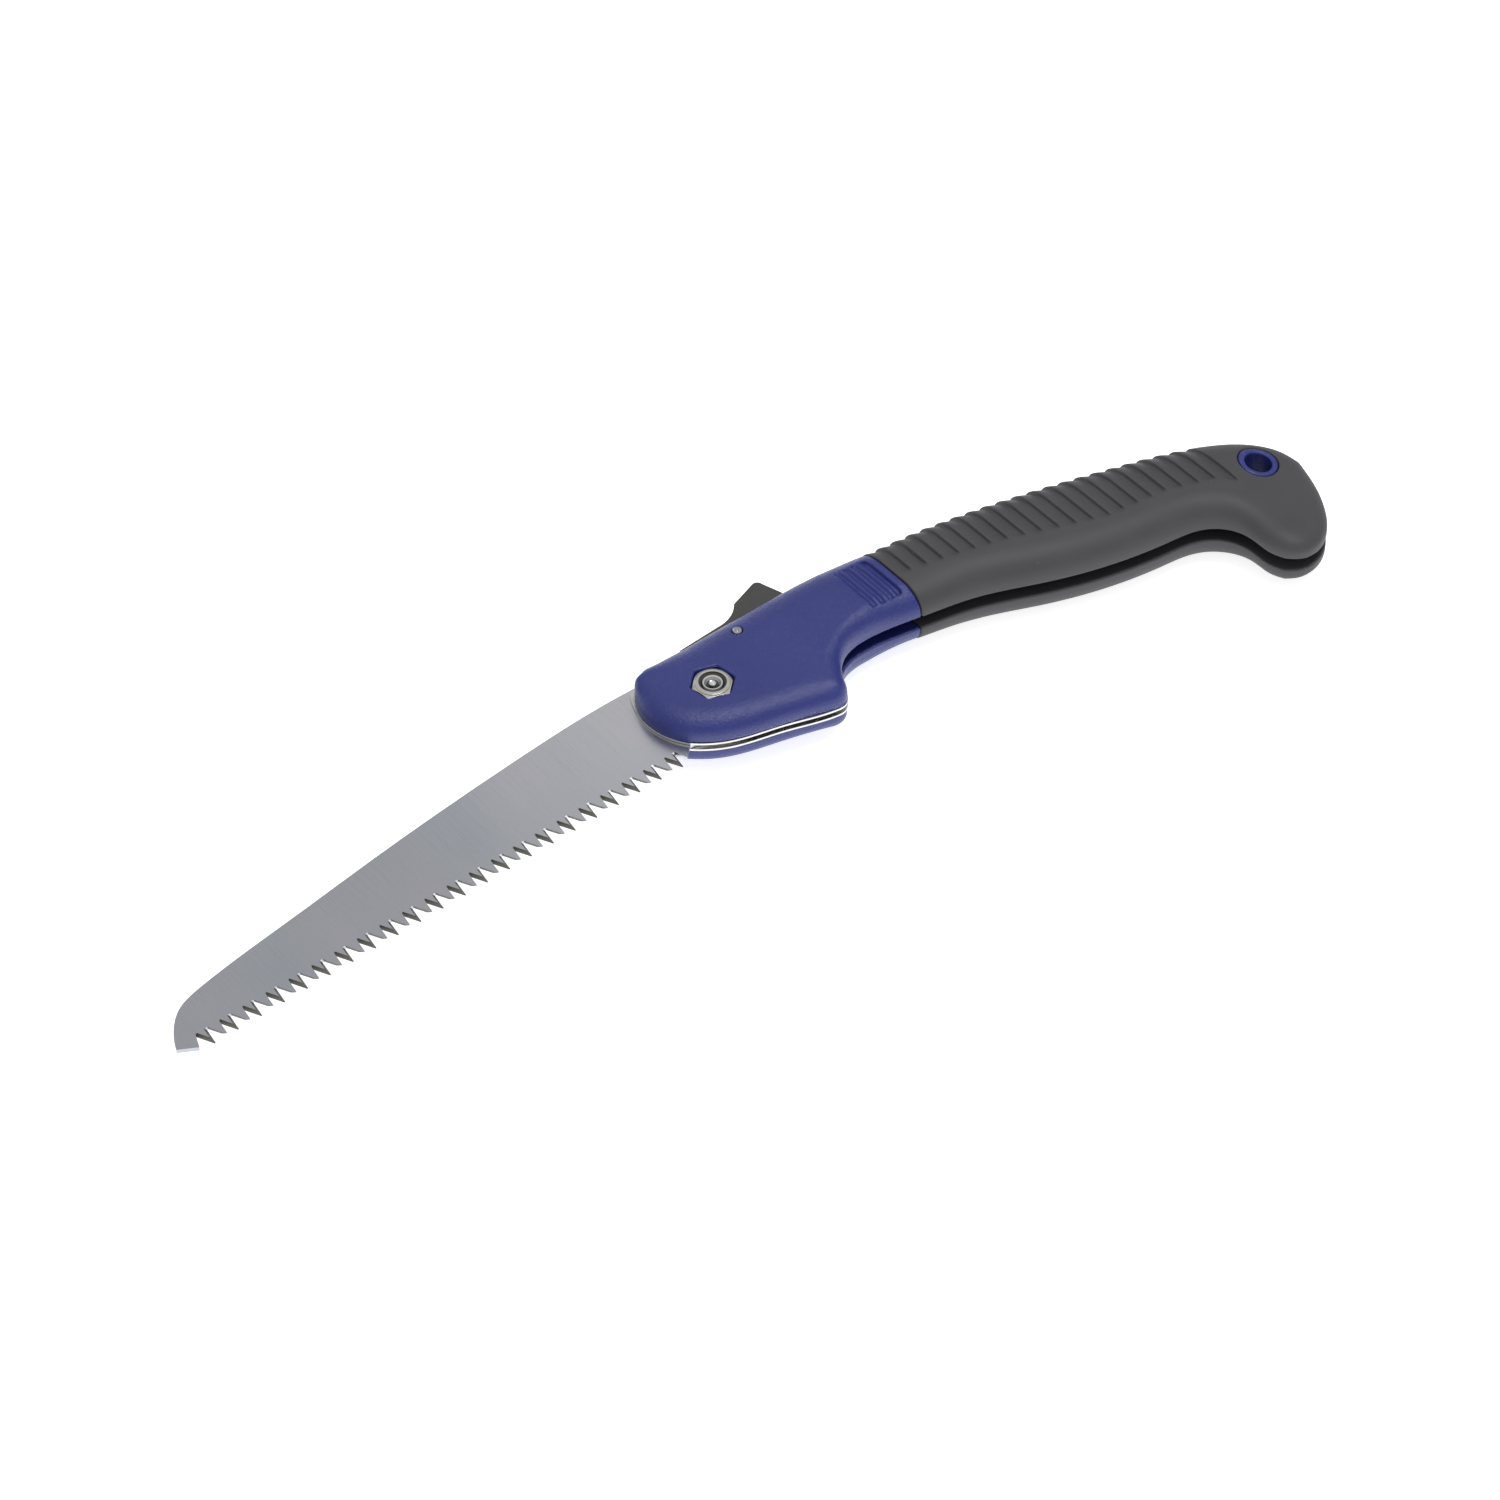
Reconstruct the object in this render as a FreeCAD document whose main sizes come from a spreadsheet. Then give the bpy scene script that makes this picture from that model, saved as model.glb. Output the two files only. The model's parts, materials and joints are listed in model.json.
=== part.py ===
"""Folding pruning saw: a straight pull saw blade that folds into a two-part handle.

The pieces are drawn round the blade's pivot, in millimetres: +X runs along the tooth
line towards the handle's rear end, +Y points to the spine (the side of the lock lever)
and +Z to the side of the pivot nut.  "Near" pieces are on the +Z side and "far" pieces
on the -Z side.  The blade is drawn open.  The Placement of each piece then moves them
all alike, so that the finished saw's origin is the centre of the hanging hole.
"""
import FreeCAD, Part
import os
from math import atan2, cos, degrees, hypot, radians, sin

import Sketcher
from FreeCAD import Placement, Rotation, Vector

os.makedirs("parts", exist_ok=True)
doc = FreeCAD.newDocument("FoldingSaw")

# ---------------------------------------------------------------- driving sizes

SIZES = {
    # blade
    "blade_thickness": 1.2,
    "tooth_pitch": 3.5,
    "tooth_depth": 4.7,
    "tooth_tip": 0.35,
    "back_bevel": 0.45,
    "front_bevel": 0.95,
    "tooth_lean": 0.8,
    "tooth_pairs": 22,
    "tooth_line": -7.7,
    "first_tooth": -20.75,
    "tang_radius": 13.0,
    "fold_angle": 163.0,
    # pivot
    "bolt_radius": 3.0,
    "bolt_clearance": 0.05,
    "bush_radius": 4.5,
    "pivot_clearance": 0.05,
    "nut_flats": 10.0,
    "nut_height": 6.65,
    "nut_hex_height": 6.35,
    "insert_floor": 4.85,
    "collar_radius": 4.7,
    "collar_mouth": 3.7,
    "insert_radius": 4.25,
    "pocket_flats": 10.6,
    "nut_turn": 40.0,
    "bolt_head_radius": 5.25,
    "bolt_head_height": 3.3,
    "bolt_key_flats": 4.0,
    "bolt_key_depth": 2.2,
    "washer_radius": 6.0,
    "washer_height": 0.6,
    "washer_seat": 4.0,
    "bolt_end": 7.75,
    # side plates
    "slot_width": 1.5,
    "liner_thickness": 0.6,
    "liner_proud": 0.2,
    # handle
    "head_half": 8.0,
    "neck_half": 9.5,
    "grip_half": 10.5,
    "rear_half": 9.3,
    "core_half": 8.3,
    "rubber_skin": 2.2,
    "boundary": 61.0,
    "head_across": 3.0,
    "head_down": 5.5,
    "grip_across": 4.4,
    "grip_down": 6.0,
    "heel_corner": 3.2,
    "rib_pitch": 2.7,
    "rib_gap": 1.6,
    "rib_depth": 1.2,
    "eye_x": 165.0,
    "eye_y": -28.8,
    "eye_radius": 3.7,
    "eye_ring_radius": 5.6,
    # lock lever
    "lever_x": 17.0,
    "lever_y": 10.7,
    "lever_pin_radius": 1.25,
    "lever_pin_hole": 1.5,
    "lever_thickness": 1.2,
    "lever_travel": 6.0,
    "lever_boss": 3.1,
    "spring_leaf": 0.5,
    "pad_width": 5.0,
    "pad_gap": 0.25,
    "press_gap": 0.02,
    "loose_gap": 0.05,
    # fasteners in the handle
    "stop_radius": 1.25,
    "screw_radius": 1.4,
    "screw_hole": 1.45,
    "screw_head_radius": 2.7,
    "screw_head_height": 1.8,
    "screw_head_seat": 5.0,
    "screw_end": 6.0,
    "screw_key_flats": 2.5,
    "screw_key_depth": 1.1,
    "screw_tip_gap": 0.5,
    "head_gap": 0.2,
    "spacer_radius": 2.4,
    "pivot_washer_radius": 8.0,
    "pivot_washer_thickness": 0.13,
}

sheet = doc.addObject("Spreadsheet::Sheet", "Sizes")
for row, (alias, value) in enumerate(SIZES.items(), start=1):
    sheet.set(f"A{row}", alias)
    sheet.set(f"B{row}", str(value))
    sheet.setAlias(f"B{row}", alias)
doc.recompute()


def size(alias):
    """A driving size as a number, read from the sheet."""
    return float(sheet.get(alias))


SLOT_HALF = size("slot_width") / 2
LINER_FACE = SLOT_HALF + size("liner_thickness")
NEAR, FAR = 1, -1

# ---------------------------------------------------------------- outlines (X, Y)

# Spine of the handle from the head to the rear end, then round the end to the hook.
SPINE = [(-13.0, 16.1), (6.0, 16.6), (36.0, 15.7), (61.0, 13.2), (97.4, 6.8),
         (133.5, -3.3), (157.6, -12.2), (169.2, -19.9), (175.2, -27.8), (176.1, -33.6),
         (173.0, -42.8), (168.1, -51.6), (162.0, -58.2)]
# The round end of the hook.
HOOK_END = [(162.0, -58.2), (157.6, -59.8), (153.0, -59.2), (149.6, -56.6)]
# Palm side of the grip, from the hook forward to the heel of the head.
PALM = [(149.6, -56.6), (148.0, -52.4), (147.7, -46.0), (145.8, -39.6), (140.8, -34.9),
        (130.0, -32.3),
        (112.0, -28.8), (94.0, -22.6), (77.0, -15.6), (61.0, -11.9), (45.0, -9.3),
        (36.0, -10.7), (31.6, -14.2)]
HEEL = (25.4, -24.0)
BELLY_FRONT = (-6.5, -13.9)
FRONT = [(-18.9, 3.0), (-14.3, 15.2)]
FRONT_LOW = (-14.6, -8.2)


def on_line(start, end, distance):
    """The point this far from start on the way to end."""
    length = hypot(end[0] - start[0], end[1] - start[1])
    share = distance / length
    return (start[0] + share * (end[0] - start[0]), start[1] + share * (end[1] - start[1]))


def inset(points, distance):
    """The points moved to the right of their direction of travel."""
    moved = []
    for index, (x, y) in enumerate(points):
        before = points[max(index - 1, 0)]
        after = points[min(index + 1, len(points) - 1)]
        run, rise = after[0] - before[0], after[1] - before[1]
        length = hypot(run, rise)
        moved.append((x + distance * rise / length, y - distance * run / length))
    return moved


def shrink(outline, distance, keep_x):
    """The outline drawn in by a distance, its ends on the plane X = keep_x left there."""
    chain = [point for _, *points in outline for point in points[:-1]]
    moved = []
    for index, (x, y) in enumerate(chain):
        before = chain[index - 1]
        after = chain[(index + 1) % len(chain)]
        on_plane = abs(x - keep_x) < 0.01
        if on_plane and abs(before[0] - keep_x) < 0.01:
            before = (x, y)
        if on_plane and abs(after[0] - keep_x) < 0.01:
            after = (x, y)
        run, rise = after[0] - before[0], after[1] - before[1]
        length = hypot(run, rise)
        new_x = x if on_plane else x + distance * rise / length
        moved.append((new_x, y - distance * run / length))
    moved.append(moved[0])
    drawn_in = []
    first = 0
    for kind, *points in outline:
        last = first + len(points) - 1
        drawn_in.append((kind, *moved[first:last + 1]))
        first = last
    return drawn_in


def turned(point, angle, centre=(0.0, 0.0)):
    """The point turned by an angle in degrees about a centre."""
    turn = radians(angle)
    x, y = point[0] - centre[0], point[1] - centre[1]
    return (centre[0] + x * cos(turn) - y * sin(turn), centre[1] + x * sin(turn) + y * cos(turn))


def polar(radius, angle, centre=(0.0, 0.0)):
    """The point at a radius and an angle in degrees from a centre."""
    return (centre[0] + radius * cos(radians(angle)), centre[1] + radius * sin(radians(angle)))


# ---------------------------------------------------------------- document helpers

def place(item, x_rule="0", y_rule="0"):
    """Move a piece from its place round the pivot to its place round the hanging hole."""
    item.setExpression("Placement.Base.x", f"{x_rule} - Sizes.eye_x")
    item.setExpression("Placement.Base.y", f"{y_rule} - Sizes.eye_y")


def new_body(label):
    """An empty body whose label names its file."""
    body = doc.addObject("PartDesign::Body", label)
    body.Label = label
    place(body)
    return body


def origin_plane(body, role):
    """One of the body's own origin planes."""
    for feature in body.Origin.OriginFeatures:
        if feature.Role == role:
            return feature
    raise ValueError(role)


def new_sketch(body, name, role="XY_Plane", height=0.0, height_rule=None):
    """A sketch on an origin plane of the body, lifted along the plane's normal."""
    sketch = body.newObject("Sketcher::SketchObject", name)
    sketch.AttachmentSupport = [(origin_plane(body, role), "")]
    sketch.MapMode = "FlatFace"
    sketch.AttachmentOffset = Placement(Vector(0, 0, height), Rotation())
    if height_rule:
        sketch.setExpression("AttachmentOffset.Base.z", height_rule)
    return sketch


def draw(sketch, segments):
    """Draw a closed outline of lines, arcs and curves, each joined to the next."""
    for kind, *points in segments:
        places = [Vector(x, y, 0) for x, y in points]
        if kind == "line":
            curve = Part.LineSegment(places[0], places[-1])
        elif kind == "arc":
            curve = Part.Arc(*places)
        else:
            curve = Part.BSplineCurve()
            curve.interpolate(places)
        index = sketch.addGeometry(curve)
        sketch.addConstraint(Sketcher.Constraint("Block", index))


def polygon(*corners):
    """The line segments round a list of corners."""
    return [("line", a, b) for a, b in zip(corners, corners[1:] + corners[:1])]


def add_circle(sketch, x, y, radius_rule, x_rule=None, y_rule=None):
    """A circle whose radius, and centre where given, follow the sheet."""
    index = sketch.addGeometry(Part.Circle(Vector(x, y, 0), Vector(0, 0, 1), 1.0))
    number = sketch.addConstraint(Sketcher.Constraint("Radius", index, 1.0))
    sketch.setExpression(f"Constraints[{number}]", radius_rule)
    for kind, value, rule in (("DistanceX", x, x_rule), ("DistanceY", y, y_rule)):
        number = sketch.addConstraint(Sketcher.Constraint(kind, -1, 1, index, 3, value))
        if rule:
            sketch.setExpression(f"Constraints[{number}]", rule)


def hexagon(flats, turn, centre=(0.0, 0.0)):
    """The sides of a hexagon from its width across flats and its turn in degrees."""
    radius = flats / 2 / cos(radians(30))
    return polygon(*[polar(radius, turn + 60 * step, centre) for step in range(6)])


def add_pad(body, sketch, rule, name, side=NEAR, both=False):
    """A pad whose length follows the sheet; side -1 points it along -Z."""
    feature = body.newObject("PartDesign::Pad", name)
    feature.Profile = sketch
    feature.setExpression("Length", rule)
    if both:
        feature.SideType = "Symmetric"
    feature.Reversed = side == FAR and not both
    return feature


def add_pocket(body, sketch, name, rule=None, side=NEAR, through=False):
    """A pocket that must remove material; side +1 cuts along +Z from its sketch."""
    doc.recompute()
    volume = body.Shape.Volume
    feature = body.newObject("PartDesign::Pocket", name)
    feature.Profile = sketch
    if through:
        feature.Type = "ThroughAll"
        feature.SideType = "Symmetric"
    else:
        feature.setExpression("Length", rule)
        feature.Reversed = side == NEAR
    doc.recompute()
    if not body.Shape.Volume < volume - 1e-6:
        raise RuntimeError(f"{body.Label}: {name} cuts nothing")
    return feature


def rounded_form(body, name, outline, half, side, across, down):
    """An upright wall on the outline, then an elliptical rounding up to the flat side."""
    base = new_sketch(body, name + "_outline")
    draw(base, outline)
    wall = half - down
    pad = body.newObject("PartDesign::Pad", name + "_wall")
    pad.Profile = base
    pad.Length = wall
    pad.Reversed = side == FAR
    sections = []
    for step in range(4):
        angle = radians(30 * step)
        section = new_sketch(body, f"{name}_section_{step}", height=side * (wall + down * sin(angle)))
        draw(section, shrink(outline, across * (1 - cos(angle)), size("boundary")))
        sections.append(section)
    loft = body.newObject("PartDesign::AdditiveLoft", name + "_rounding")
    loft.Profile = sections[0]
    loft.Sections = sections[1:]
    doc.recompute()


# ---------------------------------------------------------------- blade

LOCK_CENTRE = (size("lever_x"), size("lever_y"))
# The lever's nose, as four corners with the lever released.
NOSE = [(0.3, 13.3), (3.3, 12.95), (3.6, 15.0), (0.2, 15.4)]
NOTCH_GAP = 0.18


def notch(angle):
    """The notch for the engaged nose, turned with the tang, from mouth to mouth."""
    left, right = (turned(corner, size("lever_travel"), LOCK_CENTRE) for corner in NOSE[:2])
    floor = min(left[1], right[1]) - NOTCH_GAP
    rim_left = left[0] - 2 * NOTCH_GAP
    rim_right = right[0] + 3 * NOTCH_GAP
    radius = size("tang_radius")
    corners = [(rim_left, (radius ** 2 - rim_left ** 2) ** 0.5),
               (left[0] - NOTCH_GAP, floor),
               (right[0] + NOTCH_GAP, floor),
               (rim_right, (radius ** 2 - rim_right ** 2) ** 0.5)]
    return [turned(corner, angle) for corner in corners]


def tang_arc(start, end):
    """An arc of the tang's edge, clockwise between two points on it."""
    radius = size("tang_radius")
    first = degrees(atan2(start[1], start[0]))
    last = degrees(atan2(end[1], end[0]))
    if last > first:
        last -= 360
    return ("arc", start, polar(radius, (first + last) / 2), end)


BLADE_SPINE = [(-13.0, 16.7), (-30.0, 16.9), (-50.0, 15.9), (-70.0, 14.4), (-100.0, 11.5),
               (-130.0, 7.9), (-160.0, 3.9), (-167.7, 1.5), (-172.0, -2.2), (-176.1, -9.0)]
STOP_SHOULDER = -4.95
TANG_HEEL_ANGLE = -130.0
HEEL_TIP = (-17.7, -11.3)
HEEL_BACK = (-14.3, -8.5)


def blade_blank(sketch):
    """The blade without its teeth: spine, tip, root line, heel, tang and two notches."""
    root_line = size("tooth_line")
    pitch = size("tooth_pitch")
    first_gullet = size("first_tooth") + pitch / 2
    end_tooth = size("first_tooth") - pitch * (2 * size("tooth_pairs") - 1)
    last_gullet = end_tooth + pitch / 2
    end_tip = (end_tooth, root_line - size("tooth_depth") + 0.5)
    open_notch = notch(0)
    closed_notch = notch(-size("fold_angle"))
    shoulder_low = (STOP_SHOULDER, (size("tang_radius") ** 2 - STOP_SHOULDER ** 2) ** 0.5)
    shoulder_top = (STOP_SHOULDER, 16.3)
    tang_heel = polar(size("tang_radius"), TANG_HEEL_ANGLE)
    draw(sketch, [("curve", *BLADE_SPINE),
                  ("line", BLADE_SPINE[-1], end_tip),
                  ("line", end_tip, (last_gullet, root_line)),
                  ("line", (last_gullet, root_line), (first_gullet, root_line)),
                  ("line", (first_gullet, root_line), HEEL_TIP),
                  ("line", HEEL_TIP, HEEL_BACK),
                  ("line", HEEL_BACK, tang_heel),
                  tang_arc(closed_notch[3], tang_heel),
                  *polygon(*closed_notch)[:3],
                  tang_arc(open_notch[3], closed_notch[0]),
                  *polygon(*open_notch)[:3],
                  tang_arc(shoulder_low, open_notch[0]),
                  ("line", shoulder_low, shoulder_top),
                  ("line", shoulder_top, BLADE_SPINE[0])])


def tooth_section(body, name, tip_x, side, back_inset=0.0, front_inset=0.0):
    """One face of a tooth: a narrow tip that leans to the handle, between two flanks."""
    sketch = new_sketch(body, name, height=side * size("blade_thickness") / 2)
    root_line, depth, lean = size("tooth_line"), size("tooth_depth"), size("tooth_lean")
    root_half, tip_half = size("tooth_pitch") / 2, size("tooth_tip") / 2
    back_slope = (root_half + lean - tip_half) / depth
    front_slope = (root_half - lean - tip_half) / depth
    back, front = back_inset - root_half, root_half - front_inset
    least_tip, overlap = 0.04, 0.4
    reach = min(depth, (front - back - least_tip) / (back_slope + front_slope))
    corners = [(front - front_slope * reach, root_line - reach), (front, root_line),
               (front, root_line + overlap), (back, root_line + overlap),
               (back, root_line), (back + back_slope * reach, root_line - reach)]
    draw(sketch, polygon(*[(tip_x + x, y) for x, y in corners]))
    return sketch


def tooth_row(body, name, tip_x, cutting_side, count):
    """A row of bevelled teeth, one tooth pair apart, cutting on one face of the blade."""
    full = tooth_section(body, name + "_edge", tip_x, cutting_side)
    drawn_in = tooth_section(body, name + "_back", tip_x, -cutting_side,
                             size("back_bevel"), size("front_bevel"))
    tooth = body.newObject("PartDesign::AdditiveLoft", name + "_tooth")
    tooth.Profile = full
    tooth.Sections = [drawn_in]
    tooth.Ruled = True
    row = body.newObject("PartDesign::LinearPattern", name + "_row")
    row.Originals = [tooth]
    row.Direction = (full, ["H_Axis"])
    row.Reversed = True
    row.Length = 2 * size("tooth_pitch") * (count - 1)
    row.Occurrences = count
    body.Tip = row
    doc.recompute()


def make_blade():
    body = new_body("blade")
    sketch = new_sketch(body, "blade_outline")
    blade_blank(sketch)
    add_circle(sketch, 0, 0, "Sizes.bush_radius + Sizes.pivot_clearance")
    add_pad(body, sketch, "Sizes.blade_thickness", "blade_plate", both=True)
    doc.recompute()
    pairs = int(size("tooth_pairs"))
    tooth_row(body, "dark", size("first_tooth"), FAR, pairs)
    tooth_row(body, "light", size("first_tooth") - size("tooth_pitch"), NEAR, pairs - 1)
    return body


# ---------------------------------------------------------------- handle halves

def head_outline():
    """Outline of the head and neck, closed just behind the rubber's front edge."""
    back = size("boundary")
    spine = [point for point in SPINE if point[0] <= back + 0.01]
    palm = [point for point in PALM if point[0] <= back + 0.01]
    before = on_line(HEEL, palm[-1], size("heel_corner"))
    after = on_line(HEEL, BELLY_FRONT, size("heel_corner"))
    bulge = on_line(HEEL, on_line(before, after, hypot(before[0] - after[0],
                                                       before[1] - after[1]) / 2), 1.9)
    return [("arc", FRONT_LOW, FRONT[0], FRONT[1]),
            ("line", FRONT[1], spine[0]),
            ("curve", *spine),
            ("line", spine[-1], palm[0]),
            ("curve", *palm),
            ("line", palm[-1], before),
            ("arc", before, bulge, after),
            ("line", after, BELLY_FRONT),
            ("line", BELLY_FRONT, FRONT_LOW)]


def grip_outline(distance=0.0):
    """Outline of the grip behind the head, drawn in by a distance."""
    back = size("boundary")
    spine = inset([point for point in SPINE if point[0] >= back - 0.01], distance)
    hook = inset(HOOK_END, distance)
    palm = inset([point for point in PALM if point[0] >= back - 0.01], distance)
    hook[0], palm[0] = spine[-1], hook[-1]
    spine[0] = (back, spine[0][1])
    palm[-1] = (back, palm[-1][1])
    return [("curve", *spine), ("curve", *hook), ("curve", *palm),
            ("line", palm[-1], spine[0])]


# Places beyond the handle on each side, where a cut runs out into the open.
OPEN_FRONT, OPEN_REAR = -30.0, 180.0
OPEN_BELOW, OPEN_ABOVE = -70.0, 30.0

# The slot for the blade, cut from each half at the parting plane: it takes the side
# plates in the head and ends at a sloping roof just clear of the folded teeth.
ROOF_FRONT = (49.0, 0.8)
ROOF_REAR = (OPEN_REAR, -39.3)
LINER_TOP = 14.05
LINER_TAIL_TOP = 11.9
LINER_REAR = 49.0
# The channel for the lever's pad: its front wall, high floor, step and low floor.
CHANNEL_FRONT = 2.6
CHANNEL_HIGH = 14.2
CHANNEL_STEP = (18.4, 19.4)
CHANNEL_LOW = 12.0
CHANNEL_REAR = 39.6


def blade_slot():
    """Open at the head's front and belly, and above the head in front of the lever."""
    gap = 0.05
    return polygon((OPEN_FRONT, OPEN_ABOVE), (CHANNEL_FRONT, OPEN_ABOVE),
                   (CHANNEL_FRONT, CHANNEL_HIGH),
                   (CHANNEL_STEP[0], CHANNEL_HIGH), (CHANNEL_STEP[1], CHANNEL_LOW),
                   (LINER_REAR + gap, CHANNEL_LOW), (LINER_REAR + gap, ROOF_FRONT[1]),
                   ROOF_REAR, (OPEN_REAR, OPEN_BELOW), (OPEN_FRONT, OPEN_BELOW))


# Places along X where the handle's thickness changes, and limits beyond its two ends.
FRONT_LIMIT, HEAD_END, NECK_START = -30.0, 24.0, 46.0
SWELL_START, SWELL_END, REAR_START, REAR_LIMIT = 78.0, 125.0, 158.0, 185.0


def side_cut(body, name, side, profile):
    """Cut the outer face of a half to a thickness profile along X."""
    sketch = new_sketch(body, name, role="XZ_Plane")
    top = 20.0
    corners = [(x, side * z) for x, z in profile]
    corners += [(profile[-1][0], side * top), (profile[0][0], side * top)]
    draw(sketch, polygon(*corners))
    add_pocket(body, sketch, name + "_cut", through=True)


SCREWS = [(44.5, 8.7), (101.0, -4.5), (146.0, -18.5)]
RIB_WINDOW = (48.4, -6.4, 58.4, 9.2)


def rib_window(body, side):
    """The recessed panel with upright ribs in the neck's side."""
    left, low, right, high = RIB_WINDOW
    sketch = new_sketch(body, "rib_gaps", height=side * size("neck_half"),
                        height_rule=f"{side} * Sizes.neck_half")
    pitch, gap, fall = size("rib_pitch"), size("rib_gap"), 0.2
    for step in range(int((right - left - gap) / pitch) + 1):
        x, top = left + step * pitch, high - fall * step
        draw(sketch, polygon((x, low), (x + gap, low), (x + gap, top), (x, top)))
    add_pocket(body, sketch, "rib_gaps_cut", "Sizes.rib_depth", side=-side)


def pad_pocket(body, side):
    """The channel in the spine in which the lever's pad moves."""
    sketch = new_sketch(body, "pad_channel")
    draw(sketch, polygon((CHANNEL_FRONT, CHANNEL_HIGH), (CHANNEL_STEP[0], CHANNEL_HIGH),
                         (CHANNEL_STEP[1], CHANNEL_LOW), (CHANNEL_REAR, CHANNEL_LOW),
                         (CHANNEL_REAR, OPEN_ABOVE), (CHANNEL_FRONT, OPEN_ABOVE)))
    add_pocket(body, sketch, "pad_channel_cut", "Sizes.pad_width / 2 + Sizes.pad_gap",
               side=side)


def handle_half(label, side):
    """A blue half: head, neck, core of the grip and the boss round the hanging hole."""
    body = new_body(label)
    head_half, neck_half = size("head_half"), size("neck_half")
    rounded_form(body, "head", head_outline(), neck_half, side,
                 size("head_across"), size("head_down"))
    side_cut(body, "head_side", side, [(FRONT_LIMIT, head_half), (HEAD_END, head_half),
                                       (NECK_START, neck_half), (REAR_LIMIT, neck_half)])
    core = new_sketch(body, "core_outline")
    draw(core, grip_outline(size("rubber_skin")))
    add_pad(body, core, "Sizes.core_half", "core_pad", side)
    boss = new_sketch(body, "eye_boss")
    add_circle(boss, size("eye_x"), size("eye_y"), "Sizes.eye_ring_radius",
               "Sizes.eye_x", "Sizes.eye_y")
    add_pad(body, boss, "Sizes.rear_half", "eye_boss_pad", side)
    doc.recompute()

    slot = new_sketch(body, "blade_slot")
    draw(slot, blade_slot())
    add_pocket(body, slot, "blade_slot_cut", "Sizes.slot_width / 2 + Sizes.liner_thickness",
               side=side)
    pad_pocket(body, side)
    rib_window(body, side)

    holes = new_sketch(body, "through_holes")
    add_circle(holes, size("eye_x"), size("eye_y"), "Sizes.eye_radius",
               "Sizes.eye_x", "Sizes.eye_y")
    add_circle(holes, size("lever_x"), size("lever_y"), "Sizes.lever_pin_hole",
               "Sizes.lever_x", "Sizes.lever_y")
    add_circle(holes, 0, 0, "Sizes.bolt_radius + Sizes.bolt_clearance")
    add_pocket(body, holes, "through_holes_cut", through=True)
    return body


# A height clear of the handle's side, from which the far half's recesses are cut.
OUTSIDE = 12


def make_near_shell():
    """The nut-side half: a hexagonal pocket down to the side plate, blind screw holes."""
    body = handle_half("near_shell", NEAR)
    pocket = new_sketch(body, "nut_pocket")
    draw(pocket, hexagon(size("pocket_flats"), size("nut_turn")))
    add_pocket(body, pocket, "nut_pocket_cut", through=True)
    screws = new_sketch(body, "screw_holes")
    for x, y in SCREWS:
        add_circle(screws, x, y, "Sizes.screw_hole")
    add_pocket(body, screws, "screw_holes_cut", "Sizes.screw_end + Sizes.screw_tip_gap", side=NEAR)
    return body


def make_far_shell():
    """The bolt-head half: a stepped recess for head and washer, counterbored screws."""
    body = handle_half("far_shell", FAR)
    recess = new_sketch(body, "head_recess", height=-OUTSIDE)
    add_circle(recess, 0, 0, "Sizes.washer_radius + Sizes.head_gap")
    add_pocket(body, recess, "head_recess_cut", f"{OUTSIDE} - Sizes.washer_seat", side=NEAR)
    screws = new_sketch(body, "screw_holes")
    for x, y in SCREWS:
        add_circle(screws, x, y, "Sizes.screw_hole")
    add_pocket(body, screws, "screw_holes_cut", through=True)
    counterbores = new_sketch(body, "counterbores", height=-OUTSIDE)
    for x, y in SCREWS:
        add_circle(counterbores, x, y, "Sizes.screw_head_radius + Sizes.head_gap")
    add_pocket(body, counterbores, "counterbores_cut", f"{OUTSIDE} - Sizes.screw_head_seat", side=NEAR)
    return body


def rubber_grip(label, side):
    """The ridged rubber over one half of the grip, closed at its front edge."""
    body = new_body(label)
    back, grip_half, rear_half = size("boundary"), size("grip_half"), size("rear_half")
    rounded_form(body, "grip", grip_outline(), grip_half, side,
                 size("grip_across"), size("grip_down"))
    side_cut(body, "grip_side", side, [(back - 1, size("neck_half") + 0.2), (SWELL_START, grip_half),
                                       (SWELL_END, grip_half), (REAR_START, rear_half),
                                       (REAR_LIMIT, rear_half)])
    core = new_sketch(body, "core_space")
    draw(core, grip_outline(size("rubber_skin")))
    add_pocket(body, core, "core_space_cut", "Sizes.core_half", side=side)
    eye = new_sketch(body, "eye_space")
    add_circle(eye, size("eye_x"), size("eye_y"), "Sizes.eye_ring_radius",
               "Sizes.eye_x", "Sizes.eye_y")
    add_pocket(body, eye, "eye_space_cut", through=True)
    slot = new_sketch(body, "blade_slot")
    draw(slot, blade_slot())
    add_pocket(body, slot, "blade_slot_cut", "Sizes.slot_width / 2 + Sizes.liner_thickness",
               side=side)
    if side == FAR:
        openings = new_sketch(body, "screw_openings")
        for x, y in SCREWS[1:]:
            add_circle(openings, x, y, "Sizes.screw_head_radius + 0.5")
        add_pocket(body, openings, "screw_openings_cut", through=True)
    return body


# ---------------------------------------------------------------- side plates

def liner_outline():
    """A side plate: flush with the head's front, slightly proud along belly and heel."""
    proud = size("liner_proud")
    front_top = (-14.9, 15.6)
    front = (FRONT[0][0] + 0.1, FRONT[0][1])
    low_front = (FRONT_LOW[0], FRONT_LOW[1] - 0.1)
    belly = [low_front, (-11.0, -11.4), (BELLY_FRONT[0], BELLY_FRONT[1] - proud),
             (8.4, -18.6 - proud), (22.4, -23.0 - proud), (25.2, -23.1 - proud),
             (27.5, -21.5 - proud), (28.6, -19.2)]
    step_front = (CHANNEL_FRONT - 0.2, LINER_TOP)
    return [("arc", low_front, front, front_top),
            *polygon(front_top, (step_front[0], 16.0), step_front,
                     (CHANNEL_STEP[0], LINER_TOP), (CHANNEL_STEP[1], LINER_TAIL_TOP),
                     (LINER_REAR, LINER_TAIL_TOP), (LINER_REAR, 5.2), (28.0, 8.0),
                     belly[-1])[:-1],
            ("curve", *reversed(belly))]


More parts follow.
